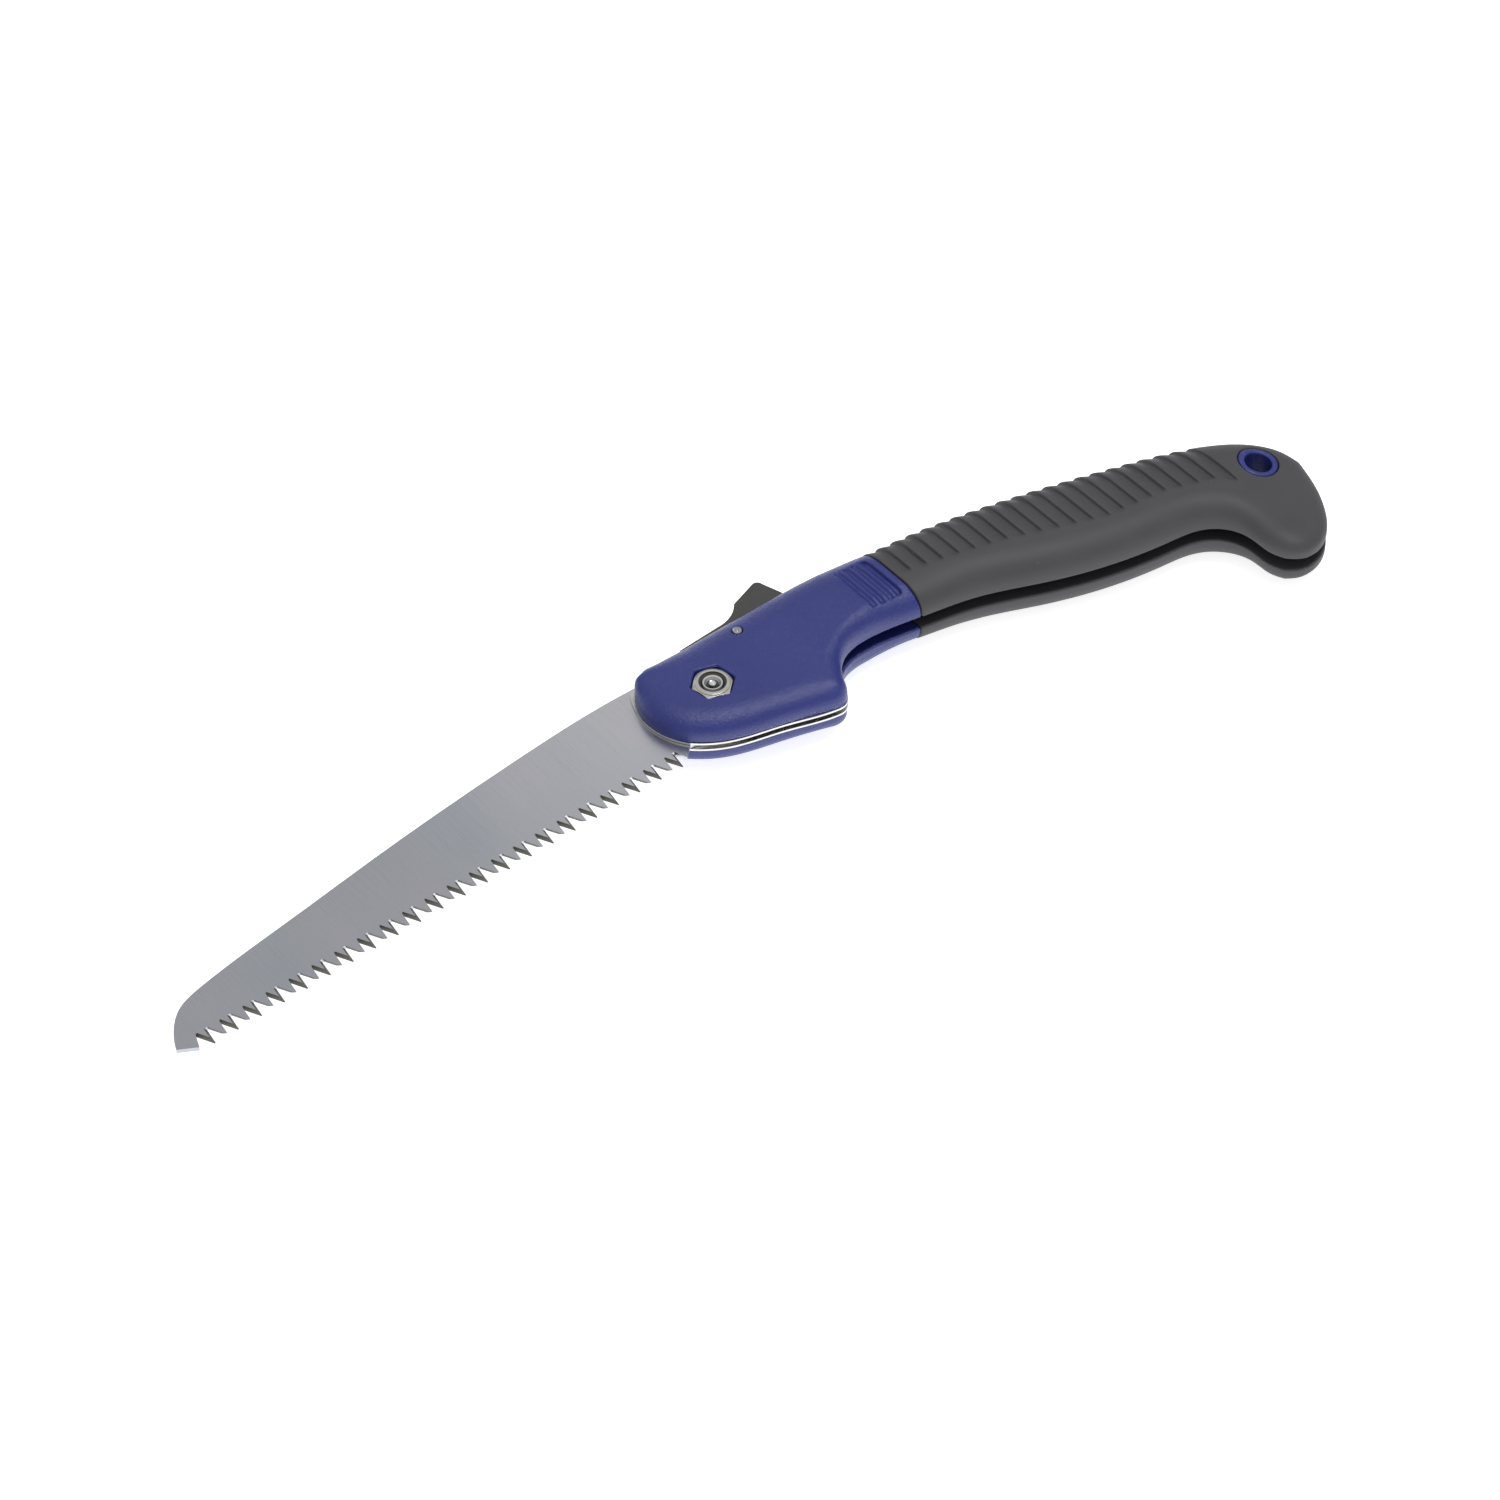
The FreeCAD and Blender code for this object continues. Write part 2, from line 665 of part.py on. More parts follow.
def stop_places():
    """Centres of the stop pins, touching the tang's shoulders at the two ends of the fold."""
    reach = size("stop_radius") + 0.02
    open_stop = (STOP_SHOULDER + reach, 14.4)
    folded = size("fold_angle")
    inner = turned(polar(size("tang_radius"), TANG_HEEL_ANGLE), folded)
    outer = turned(HEEL_BACK, folded)
    half_way = ((inner[0] + outer[0]) / 2, (inner[1] + outer[1]) / 2)
    run, rise = outer[0] - inner[0], outer[1] - inner[1]
    length = hypot(run, rise)
    folded_stop = (half_way[0] - reach * rise / length, half_way[1] + reach * run / length)
    return [open_stop, folded_stop]


def make_liner(label, side):
    body = new_body(label)
    sketch = new_sketch(body, "liner_outline", height=side * SLOT_HALF,
                        height_rule=f"{side} * Sizes.slot_width / 2")
    draw(sketch, liner_outline())
    add_circle(sketch, 0, 0, "Sizes.bolt_radius + Sizes.bolt_clearance")
    add_circle(sketch, size("lever_x"), size("lever_y"), "Sizes.lever_pin_radius + Sizes.press_gap",
               "Sizes.lever_x", "Sizes.lever_y")
    add_circle(sketch, *SCREWS[0], "Sizes.screw_hole")
    for x, y in stop_places():
        add_circle(sketch, x, y, "Sizes.stop_radius + Sizes.press_gap")
    add_pad(body, sketch, "Sizes.liner_thickness", "liner_pad", side)
    return body


# ---------------------------------------------------------------- pivot

def turned_body(label, corners):
    """A round piece about the pivot axis from its half section (radius, Z)."""
    body = new_body(label)
    sketch = new_sketch(body, label + "_section", role="XZ_Plane")
    draw(sketch, polygon(*corners))
    turn = body.newObject("PartDesign::Revolution", label + "_turn")
    turn.Profile = sketch
    turn.ReferenceAxis = (sketch, ["V_Axis"])
    turn.Angle = 360
    doc.recompute()
    return body


def tube(label, inner_rule, outer_rule, length_rule, side=NEAR, height_rule=None, both=False):
    """A plain tube about the pivot axis."""
    body = new_body(label)
    sketch = new_sketch(body, label + "_ring", height_rule=height_rule)
    add_circle(sketch, 0, 0, outer_rule)
    add_circle(sketch, 0, 0, inner_rule)
    add_pad(body, sketch, length_rule, label + "_pad", side, both)
    return body


def make_pivot_bolt():
    """Button-head bolt from the far side, with a hexagonal key socket."""
    head = size("bolt_head_radius")
    seat = -size("washer_seat") - size("washer_height")
    top = seat - size("bolt_head_height")
    crown, shoulder, side = 0.62 * head, 0.9 * head, 1.0
    button = [(0, top), (crown, top), (shoulder, seat - 2.2 * side), (head, seat - side), (head, seat)]
    radius, end = size("bolt_radius"), size("bolt_end")
    bevel, rim, depth, dome, rise = 0.3, 0.7, 0.75, 1.1, 0.2
    shank = [(radius, seat), (radius, end - bevel), (radius - bevel, end), (radius - rim, end)]
    dish = [(dome + bevel, end - depth), (dome, end - depth)]
    centre = [(dome - rise / 2, end - rise), (dome / 2, end + rise / 2), (0, end + rise)]
    body = turned_body("pivot_bolt", button + shank + dish + centre)
    socket = new_sketch(body, "key_socket", height=top)
    draw(socket, hexagon(size("bolt_key_flats"), 0.0))
    add_pocket(body, socket, "key_socket_cut", "Sizes.bolt_key_depth", side=NEAR)
    return body


COLLAR_LIP = 0.3


def make_pivot_nut():
    """Self-locking nut: hexagon below, round collar above with a recess for the ring."""
    body = new_body("pivot_nut")
    base = new_sketch(body, "nut_hexagon", height_rule="Sizes.slot_width / 2 + Sizes.liner_thickness")
    draw(base, hexagon(size("nut_flats"), size("nut_turn")))
    add_circle(base, 0, 0, "Sizes.bolt_radius + Sizes.bolt_clearance")
    add_pad(body, base, "Sizes.nut_hex_height", "nut_hexagon_pad")
    collar = new_sketch(body, "nut_collar", height_rule="Sizes.slot_width / 2 + Sizes.liner_thickness")
    add_circle(collar, 0, 0, "Sizes.collar_radius")
    add_circle(collar, 0, 0, "Sizes.bolt_radius + Sizes.bolt_clearance")
    add_pad(body, collar, "Sizes.nut_height", "nut_collar_pad")
    top = LINER_FACE + size("nut_height")
    hex_top = LINER_FACE + size("nut_hex_height")
    floor = LINER_FACE + size("insert_floor")
    clear, chamfer = 0.5, 0.8
    recess = new_sketch(body, "ring_recess", role="XZ_Plane")
    ring, mouth = size("insert_radius"), size("collar_mouth")
    draw(recess, polygon((0, floor), (ring, floor), (ring, top - COLLAR_LIP),
                         (mouth, top - COLLAR_LIP), (mouth, top + clear), (0, top + clear)))
    corner = size("nut_flats") / 2 / cos(radians(30)) + clear
    bevel_start = size("nut_flats") / 2 - 0.1
    bevel = new_sketch(body, "corner_bevel", role="XZ_Plane")
    draw(bevel, polygon((bevel_start, hex_top), (corner, hex_top - chamfer),
                        (corner, top + clear), (bevel_start, top + clear)))
    collar_edge = size("collar_radius") - COLLAR_LIP
    edge = new_sketch(body, "collar_edge", role="XZ_Plane")
    draw(edge, polygon((collar_edge, top), (bevel_start, hex_top),
                       (bevel_start, top + clear), (collar_edge, top + clear)))
    for sketch in (recess, bevel, edge):
        groove = body.newObject("PartDesign::Groove", sketch.Name + "_cut")
        groove.Profile = sketch
        groove.ReferenceAxis = (sketch, ["V_Axis"])
        groove.Angle = 360
    doc.recompute()
    return body


def make_nut_insert():
    """The nylon ring that grips the thread."""
    gap, bevel = 0.02, 0.3
    low = LINER_FACE + size("insert_floor") + gap
    top = LINER_FACE + size("nut_height") - COLLAR_LIP - gap
    bore = size("bolt_radius") + gap
    outer = size("insert_radius") - gap
    return turned_body("nut_insert", [(bore, low), (outer, low), (outer, top),
                                      (bore + bevel, top), (bore, top - bevel)])


def make_pivot_washers():
    """Thin washers on both sides of the blade's tang."""
    washers = []
    for side, name in ((NEAR, "near_washer"), (FAR, "far_washer")):
        washers.append(tube(name, "Sizes.bush_radius + Sizes.loose_gap", "Sizes.pivot_washer_radius",
                            "Sizes.pivot_washer_thickness", side,
                            f"{side} * (Sizes.slot_width / 2 - Sizes.pivot_washer_thickness)"))
    group = doc.addObject("Part::Compound", "pivot_washers")
    group.Label = "pivot_washers"
    group.Links = washers


# ---------------------------------------------------------------- lock lever

def lever_outline():
    """The steel plate: nose, boss round its pin, rear arm and the tab inside the pad."""
    boss = size("lever_boss")
    front = polar(boss, 196, LOCK_CENTRE)
    low = polar(boss, 255, LOCK_CENTRE)
    rear = polar(boss, 318, LOCK_CENTRE)
    return [*polygon(NOSE[0], NOSE[1], (3.55, 14.2), (8.8, 11.7), front)[:-1],
            ("arc", front, low, rear),
            *polygon(rear, (22.0, 10.0), (36.0, 10.3), (37.2, 11.5), (36.6, 20.0),
                     (33.6, 22.4), (25.0, 19.6), (20.0, 17.2), (6.0, 16.9), (3.4, 15.5),
                     (0.3, 15.3), NOSE[0])[:-1]]


def make_lock_lever():
    body = new_body("lock_lever")
    sketch = new_sketch(body, "lever_outline")
    draw(sketch, lever_outline())
    add_circle(sketch, size("lever_x"), size("lever_y"),
               "Sizes.lever_pin_radius + Sizes.pivot_clearance", "Sizes.lever_x", "Sizes.lever_y")
    add_pad(body, sketch, "Sizes.lever_thickness", "lever_plate", both=True)
    return body


def pad_outline():
    """The thumb pad: a low front rail, then a ramp up to a rounded peak."""
    return [("line", (3.5, 15.9), (3.5, 17.6)),
            ("arc", (3.5, 17.6), (3.75, 18.2), (4.4, 18.4)),
            ("line", (4.4, 18.4), (18.5, 18.9)),
            ("curve", (18.5, 18.9), (22.6, 20.1), (25.8, 22.8)),
            ("line", (25.8, 22.8), (34.2, 25.5)),
            ("arc", (34.2, 25.5), (35.6, 25.3), (36.3, 24.2)),
            ("line", (36.3, 24.2), (38.3, 18.1)),
            ("line", (38.3, 18.1), (38.2, 12.8)),
            ("line", (38.2, 12.8), (19.6, 12.8)),
            ("line", (19.6, 12.8), (18.3, 15.9)),
            ("line", (18.3, 15.9), (3.5, 15.9))]


def make_lever_pad(plate):
    """The pad moulded round the plate's tab: the plate's own shape is taken out of it."""
    solid = new_body("pad_form")
    sketch = new_sketch(solid, "pad_outline")
    draw(sketch, pad_outline())
    add_pad(solid, sketch, "Sizes.pad_width", "pad_block", both=True)
    cut = doc.addObject("Part::Cut", "lever_pad")
    cut.Base = solid
    cut.Tool = plate
    cut.Label = "lever_pad"


def make_lever_pin():
    """The pin across both halves, dimpled at its ends where it was riveted."""
    end = size("head_half") - 0.1
    radius = size("lever_pin_radius")
    dimple, deep, bevel = 0.55, 0.45, 0.2
    body = turned_body("lever_pin", [(0, deep - end), (dimple, -end), (radius - bevel, -end),
                                     (radius, bevel - end), (radius, end - bevel),
                                     (radius - bevel, end), (dimple, end), (0, end - deep)])
    place(body, "Sizes.lever_x", "Sizes.lever_y")


def make_lever_spring():
    """A wire-thin leaf: an eye round the spacer, and a tongue forward under the lever."""
    body = new_body("lever_spring")
    x, y = SCREWS[0]
    inner = size("spacer_radius") + size("loose_gap")
    outer = inner + size("spring_leaf")
    eye = new_sketch(body, "spring_eye")
    add_circle(eye, x, y, "Sizes.spacer_radius + Sizes.loose_gap")
    add_circle(eye, x, y, "Sizes.spacer_radius + Sizes.loose_gap + Sizes.spring_leaf")
    add_pad(body, eye, "Sizes.lever_thickness", "spring_eye_pad", both=True)
    doc.recompute()
    tongue = new_sketch(body, "spring_tongue")
    upper = [(x, y - inner), (38.0, 7.4), (31.5, 9.9)]
    lower = [(31.4, 9.4), (38.0, 6.9), (x, y - outer)]
    draw(tongue, [("curve", *upper), ("line", upper[-1], lower[0]), ("curve", *lower),
                  ("line", lower[-1], upper[0])])
    add_pad(body, tongue, "Sizes.lever_thickness", "spring_tongue_pad", both=True)


# ---------------------------------------------------------------- pins and screws

def make_stop_pins():
    """The two stop pins, riveted into both side plates."""
    pins = []
    for name, (x, y) in zip(("open_stop", "folded_stop"), stop_places()):
        pin = doc.addObject("Part::Cylinder", name)
        pin.setExpression("Radius", "Sizes.stop_radius")
        pin.setExpression("Height", "Sizes.slot_width + 2 * Sizes.liner_thickness")
        pin.Placement = Placement(Vector(x, y, -LINER_FACE), Rotation())
        pins.append(pin)
    group = doc.addObject("Part::Compound", "stop_pins")
    group.Label = "stop_pins"
    group.Links = pins
    place(group)


def make_liner_spacer():
    body = tube("liner_spacer", "Sizes.screw_hole", "Sizes.spacer_radius", "Sizes.slot_width",
                both=True)
    place(body, str(SCREWS[0][0]), str(SCREWS[0][1]))


def make_handle_screws():
    """Three equal screws from the far side, each with a hexagonal key socket."""
    seat = -size("screw_head_seat")
    top = seat - size("screw_head_height")
    head, shank, end = size("screw_head_radius"), size("screw_radius"), size("screw_end")
    bevel, blunt, taper = 0.4, 0.4, 1.2
    screw = turned_body("screw", [(0, top), (head - bevel, top), (head, top + bevel), (head, seat),
                                  (shank, seat), (shank, end - taper), (blunt, end), (0, end)])
    socket = new_sketch(screw, "screw_socket", height=top)
    draw(socket, hexagon(size("screw_key_flats"), 0.0))
    add_pocket(screw, socket, "screw_socket_cut", "Sizes.screw_key_depth", side=NEAR)
    group = doc.addObject("Part::Feature", "handle_screws")
    group.Label = "handle_screws"
    copies = []
    for x, y in SCREWS:
        copy = screw.Shape.copy()
        copy.translate(Vector(x, y, 0))
        copies.append(copy)
    group.Shape = Part.makeCompound(copies)


# ---------------------------------------------------------------- build and write

make_blade()
make_near_shell()
make_far_shell()
rubber_grip("near_grip", NEAR)
rubber_grip("far_grip", FAR)
make_liner("near_liner", NEAR)
make_liner("far_liner", FAR)
make_pivot_bolt()
make_pivot_nut()
make_nut_insert()
tube("pivot_bush", "Sizes.bolt_radius + Sizes.bolt_clearance", "Sizes.bush_radius",
     "Sizes.slot_width", both=True)
tube("bolt_washer", "Sizes.bolt_radius + Sizes.bolt_clearance", "Sizes.washer_radius",
     "Sizes.washer_height", FAR, "-Sizes.washer_seat")
make_pivot_washers()
make_lever_pad(make_lock_lever())
make_lever_pin()
make_lever_spring()
make_stop_pins()
make_liner_spacer()
make_handle_screws()

NODES = ["blade", "near_shell", "far_shell", "near_grip", "far_grip", "near_liner",
         "far_liner", "pivot_bolt", "pivot_nut", "nut_insert", "pivot_bush", "bolt_washer",
         "pivot_washers", "lock_lever", "lever_pad", "lever_pin", "lever_spring",
         "stop_pins", "liner_spacer", "handle_screws"]

doc.recompute()
for item in doc.Objects:
    if "Invalid" in item.State or "Error" in item.State:
        raise RuntimeError(f"{item.Name} failed: {item.State}")
parts = {item.Label: item.Shape for item in doc.Objects if item.Label in NODES}
for label in NODES:
    shape = parts[label]
    if shape.isNull() or not shape.isValid():
        raise RuntimeError(f"{label} has no valid shape")
for label in NODES:
    parts[label].exportStep(f"parts/{label}.step")
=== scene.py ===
"""The looks of the folding pruning saw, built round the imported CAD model.

Shapes are drawn in millimetres round the blade's pivot, as the saw is designed, and moved
to the frame's place by place(): +X to the handle's rear end, +Y to the spine, +Z to the nut.
The two blue halves and the two rubber covers are carved as distance fields: a value that is
negative inside the solid, from which carve() makes a closed quad mesh.
"""
import json
import math

import bpy
import numpy as np
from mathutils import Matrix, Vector


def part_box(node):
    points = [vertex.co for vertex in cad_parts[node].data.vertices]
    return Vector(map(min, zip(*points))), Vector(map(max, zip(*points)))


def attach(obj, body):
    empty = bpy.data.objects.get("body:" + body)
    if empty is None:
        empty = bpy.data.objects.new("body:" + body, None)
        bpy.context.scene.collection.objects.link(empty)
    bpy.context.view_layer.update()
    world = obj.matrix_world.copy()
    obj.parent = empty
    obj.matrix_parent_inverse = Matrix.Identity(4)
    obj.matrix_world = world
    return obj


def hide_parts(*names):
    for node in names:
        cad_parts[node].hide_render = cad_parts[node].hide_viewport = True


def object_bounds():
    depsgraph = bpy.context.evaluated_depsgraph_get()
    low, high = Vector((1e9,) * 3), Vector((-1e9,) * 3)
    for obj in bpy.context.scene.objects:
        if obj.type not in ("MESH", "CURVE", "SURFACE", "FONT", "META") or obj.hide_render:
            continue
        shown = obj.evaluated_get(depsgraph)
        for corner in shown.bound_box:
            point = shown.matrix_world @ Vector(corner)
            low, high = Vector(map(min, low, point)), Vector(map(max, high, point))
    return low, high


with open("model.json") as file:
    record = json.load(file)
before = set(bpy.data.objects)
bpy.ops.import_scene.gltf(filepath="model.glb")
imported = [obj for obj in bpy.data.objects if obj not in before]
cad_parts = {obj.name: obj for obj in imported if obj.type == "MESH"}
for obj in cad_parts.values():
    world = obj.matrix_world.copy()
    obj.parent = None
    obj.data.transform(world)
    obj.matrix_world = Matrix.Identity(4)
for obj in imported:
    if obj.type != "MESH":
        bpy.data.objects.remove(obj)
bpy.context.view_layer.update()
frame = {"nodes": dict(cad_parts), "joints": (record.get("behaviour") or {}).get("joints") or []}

MM = 0.001
joints = {joint["name"]: joint for joint in frame["joints"]}
PIVOT = np.array(joints["blade_fold"]["pos_m"])
LEVER = (np.array(joints["lever_rock"]["pos_m"]) - PIVOT) / MM


def place(points):
    """Points in millimetres round the pivot, as points of the frame in metres."""
    return PIVOT + np.asarray(points, float) * MM


def size_of(node):
    """Lowest and highest corner of a CAD node, in millimetres round the pivot."""
    low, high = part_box(node)
    return (np.array(low) - PIVOT) / MM, (np.array(high) - PIVOT) / MM


# ---------------------------------------------------------------- sizes from the frame

PIN_SUNK = 0.1
HEAD_HALF = size_of("lever_pin")[1][2] + PIN_SUNK
NECK_HALF = size_of("near_shell")[1][2]
GRIP_HALF = size_of("near_grip")[1][2]
SLOT_HALF = size_of("near_liner")[1][2]
BOUNDARY = size_of("near_grip")[0][0]
EYE = -PIVOT[:2] / MM

# ---------------------------------------------------------------- sizes of the handle

# Half thickness at the rear end, how much of it the palm side loses, and how far the
# rubber stands out from the blue.
REAR_HALF = 9.8
REAR_LEAN = 2.8
SWELL = 0.12
# From here to the rear, the rounded edges of spine and palm meet without a dip.
GRIP_START = 80.0
# The rubber's thickness, on the outside and along the slot, and its gap to the core.
SKIN = 2.05
SLOT_SKIN = 1.3
SLOT_SKIN_DEPTH = 9.0
CORE_GAP = 0.05
CORE_FRONT = 59.0
# Openings: the hanging hole and its ring, the nut, the bolt's washer, the screws.
EYE_RADIUS = 3.7
EYE_RING = 5.6
PIN_HOLE = 1.5
NUT_POCKET = 10.6
NUT_TURN = 40.0
WASHER_RECESS = 6.2
WASHER_SEAT = 4.0
BOLT_HOLE = 3.1
SCREWS = [(44.5, 8.7), (101.0, -4.5), (146.0, -18.5)]
SCREW_HOLE = 1.5
SCREW_BORE = 2.9
SCREW_SEAT = 5.0
SCREW_OPENING = 3.2
# Half width of the channel for the lever's pad.
PAD_HALF = 2.75
# A length too small to divide by.
TINY = 1e-6

# ---------------------------------------------------------------- outlines

SPINE = [(-12.4, 15.9), (6.0, 16.6), (36.0, 15.7), (61.0, 13.2), (97.4, 6.8),
         (133.5, -3.3), (157.6, -12.2), (169.2, -19.9), (175.2, -27.8), (176.1, -33.6)]
HOOK_END = [(176.1, -33.6), (173.2, -42.8), (168.7, -51.4), (164.0, -56.8), (158.4, -59.6),
            (153.0, -59.2), (149.6, -56.6)]
PALM = [(149.6, -56.6), (148.0, -52.4), (147.7, -46.0), (145.8, -39.6), (140.8, -34.9),
        (130.0, -32.3), (112.0, -28.8), (94.0, -22.6), (77.0, -15.6), (61.0, -11.9),
        (45.0, -9.3), (36.0, -10.7), (31.6, -14.2), (28.6, -19.0)]
HEEL = [(28.6, -19.0), (27.4, -21.5), (25.4, -23.0), (22.4, -23.0)]
BELLY = [(22.4, -23.0), (8.4, -18.7), (-6.5, -13.9), (-11.0, -11.2), (-14.8, -8.0)]
FRONT = [(-14.8, -8.0), (-17.4, -4.0), (-18.8, 1.0), (-18.5, 6.0), (-16.8, 10.6), (-14.9, 13.7),
         (-12.4, 15.9)]


def smooth(points, count=24):
    """A natural cubic curve through the points, with this many steps for each span."""
    knots = np.asarray(points, float)
    chord = np.r_[0, np.cumsum(np.hypot(*np.diff(knots, axis=0).T))]
    gaps = np.diff(chord)
    size = len(knots)
    matrix = np.eye(size)
    right = np.zeros((size, 2))
    for k in range(1, size - 1):
        matrix[k, k - 1:k + 2] = gaps[k - 1], 2 * (gaps[k - 1] + gaps[k]), gaps[k]
        right[k] = 6 * ((knots[k + 1] - knots[k]) / gaps[k] - (knots[k] - knots[k - 1]) / gaps[k - 1])
    bend = np.linalg.solve(matrix, right)
    places = np.unique(np.concatenate([np.linspace(a, b, count) for a, b in zip(chord, chord[1:])]))
    span = np.clip(np.searchsorted(chord, places, side="right") - 1, 0, size - 2)
    gap = gaps[span][:, None]
    before = (chord[span + 1] - places)[:, None]
    after = (places - chord[span])[:, None]
    return (bend[span] * before ** 3 / (6 * gap) + bend[span + 1] * after ** 3 / (6 * gap)
            + (knots[span] / gap - bend[span] * gap / 6) * before
            + (knots[span + 1] / gap - bend[span + 1] * gap / 6) * after)


def distance_to(chain, x, y):
    """Distance from each point of a grid to a chain of straight pieces."""
    best = np.full(x.shape, 1e9)
    for (ax, ay), (bx, by) in zip(chain, chain[1:]):
        run, rise = bx - ax, by - ay
        length = max(run * run + rise * rise, 1e-12)
        share = np.clip(((x - ax) * run + (y - ay) * rise) / length, 0, 1)
        best = np.minimum(best, (x - ax - share * run) ** 2 + (y - ay - share * rise) ** 2)
    return np.sqrt(best)


def inside_of(chain, x, y):
    """Which points of a grid lie inside a closed chain."""
    odd = np.zeros(x.shape, bool)
    for (ax, ay), (bx, by) in zip(chain, np.roll(chain, -1, axis=0)):
        crosses = (ay > y) != (by > y)
        with np.errstate(divide="ignore", invalid="ignore"):
            odd ^= crosses & (x < (bx - ax) * (y - ay) / (by - ay) + ax)
    return odd


def polygon_distance(corners, x, y):
    """Signed distance to a polygon, negative inside."""
    chain = np.asarray(corners, float)
    closed = np.vstack([chain, chain[:1]])
    return np.where(inside_of(chain, x, y), -1, 1) * distance_to(closed, x, y)


# ---------------------------------------------------------------- joining of fields

def both(a, b, edge=0.0):
    """The solid that is in a and in b, with its new edge rounded."""
    if not edge:
        return np.maximum(a, b)
    return np.maximum(a, b) + np.maximum(edge - np.abs(a - b), 0) ** 2 / (4 * edge)


def either(a, b):
    """The solid that is in a or in b."""
    return np.minimum(a, b)


def without(a, b, edge=0.0):
    """The solid a with b taken out of it."""
    return both(a, -b, edge)


def step_up(value, start, end):
    """0 before start, 1 after end, smooth between."""
    share = np.clip((value - start) / (end - start), 0, 1)
    return share * share * (3 - 2 * share)


# ---------------------------------------------------------------- from field to mesh

def sample(field, where):
    """The field between its grid points, at places counted in grid steps."""
    top = np.array(field.shape) - 2
    low = np.clip(np.floor(where).astype(int), 0, top)
    share = where - low
    total = 0
    for corner in range(8):
        pick = [(corner >> axis) & 1 for axis in range(3)]
        weight = np.prod([share[:, axis] if pick[axis] else 1 - share[:, axis]
                          for axis in range(3)], axis=0)
        total = total + weight * field[tuple(low[:, axis] + pick[axis] for axis in range(3))]
    return total


def settled(field, points):
    """The points moved onto the field's zero level, by a little at a time."""
    rounds, largest_move = 3, 0.4
    for _ in range(rounds):
        slope = np.stack([sample(field, points + shift) - sample(field, points - shift)
                          for shift in 0.5 * np.eye(3)], axis=1)
        steepness = np.maximum((slope ** 2).sum(1), 1e-9)
        move = slope * (sample(field, points) / steepness)[:, None]
        points = points - np.clip(move, -largest_move, largest_move)
    return points


def carve(field):
    """Closed quad mesh on the zero level of a field: points in grid steps, and faces."""
    cells = np.array(field.shape) - 1
    total = np.zeros((np.prod(cells), 3))
    count = np.zeros(np.prod(cells))
    rings = []
    for axis in range(3):
        one, two = (axis + 1) % 3, (axis + 2) % 3
        near = field[tuple(slice(0, -1) if k == axis else slice(1, -1) for k in range(3))]
        far = field[tuple(slice(1, None) if k == axis else slice(1, -1) for k in range(3))]
        cross = np.argwhere((near < 0) != (far < 0))
        start = near[tuple(cross.T)]
        end = far[tuple(cross.T)]
        place_on_edge = cross.astype(float)
        for k in (one, two):
            cross[:, k] += 1
            place_on_edge[:, k] += 1
        place_on_edge[:, axis] += start / (start - end)
        ring = []
        for back_one, back_two in ((0, 0), (1, 0), (1, 1), (0, 1)):
            cell = cross.copy()
            cell[:, one] -= back_one
            cell[:, two] -= back_two
            index = np.ravel_multi_index(cell.T, cells)
            ring.append(index)
            count += np.bincount(index, minlength=len(count))
            for k in range(3):
                total[:, k] += np.bincount(index, place_on_edge[:, k], len(count))
        ring = np.array(ring).T
        ring[start < 0] = ring[start < 0][:, ::-1]
        rings.append(ring)
    used = np.flatnonzero(count)
    number = np.full(len(count), -1)
    number[used] = np.arange(len(used))
    points = total[used] / count[used][:, None]
    return settled(field, points), number[np.vstack(rings)][:, ::-1]


def mesh_object(name, points, faces, body, material):
    """A smooth-shaded mesh object of quads, riding on a CAD body."""
    mesh = bpy.data.meshes.new(name)
    mesh.vertices.add(len(points))
    mesh.vertices.foreach_set("co", place(points).astype(np.float32).ravel())
    sides = faces.shape[1]
    mesh.loops.add(faces.size)
    mesh.loops.foreach_set("vertex_index", faces.astype(np.int32).ravel())
    mesh.polygons.add(len(faces))
    mesh.polygons.foreach_set("loop_start", np.arange(0, faces.size, sides, dtype=np.int32))
    mesh.polygons.foreach_set("use_smooth", np.ones(len(faces), bool))
    mesh.update(calc_edges=True)
    mesh.validate()
    piece = bpy.data.objects.new(name, mesh)
    bpy.context.scene.collection.objects.link(piece)
    mesh.materials.append(material)
    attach(piece, body)
    return piece


class Block:
    """A box-shaped grid of points on the near side; the far side is its mirror image."""

    def __init__(self, low, high, step):
        self.step = np.array(step, float)
        self.low = np.array(low, float)
        counts = np.ceil((np.array(high) - self.low) / self.step).astype(int) + 1
        axes = [self.low[k] + self.step[k] * np.arange(counts[k]) for k in range(3)]
        self.x, self.y = (a.astype(np.float32) for a in np.meshgrid(axes[0], axes[1], indexing="ij"))
        self.z = axes[2].astype(np.float32)[None, None, :]

    def piece(self, name, field, side, material, node):
        """The carved piece, standing for a CAD node; side -1 mirrors it to the far side."""
        points, faces = carve(field)
        points = self.low + points * self.step
        if side < 0:
            points[:, 2] *= -1
            faces = faces[:, ::-1]
        made = mesh_object(name, points, faces, "handle", material)
        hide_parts(node)
        return made


# ---------------------------------------------------------------- the handle's form

def edge_maps(block):
    """Depth inside the outline, and distances to its spine edge and to its other edges."""
    spine = smooth(SPINE)
    rest = np.vstack([smooth(part) for part in (HOOK_END, PALM, HEEL, BELLY, FRONT)])
    outside = ~inside_of(np.vstack([spine, rest]), block.x, block.y)
    to_spine = distance_to(spine, block.x, block.y)
    to_rest = distance_to(rest, block.x, block.y)
    past_spine = outside & (to_spine <= to_rest)
    past_rest = outside & (to_spine > to_rest)
    depth = np.where(outside, -1, 1) * np.minimum(to_spine, to_rest)
    return depth, np.where(past_spine, -1, 1) * to_spine, np.where(past_rest, -1, 1) * to_rest


def along(block, *stops):
    """A size that changes evenly along X between (place, size) stops."""
    return np.interp(block.x, *np.transpose(stops))


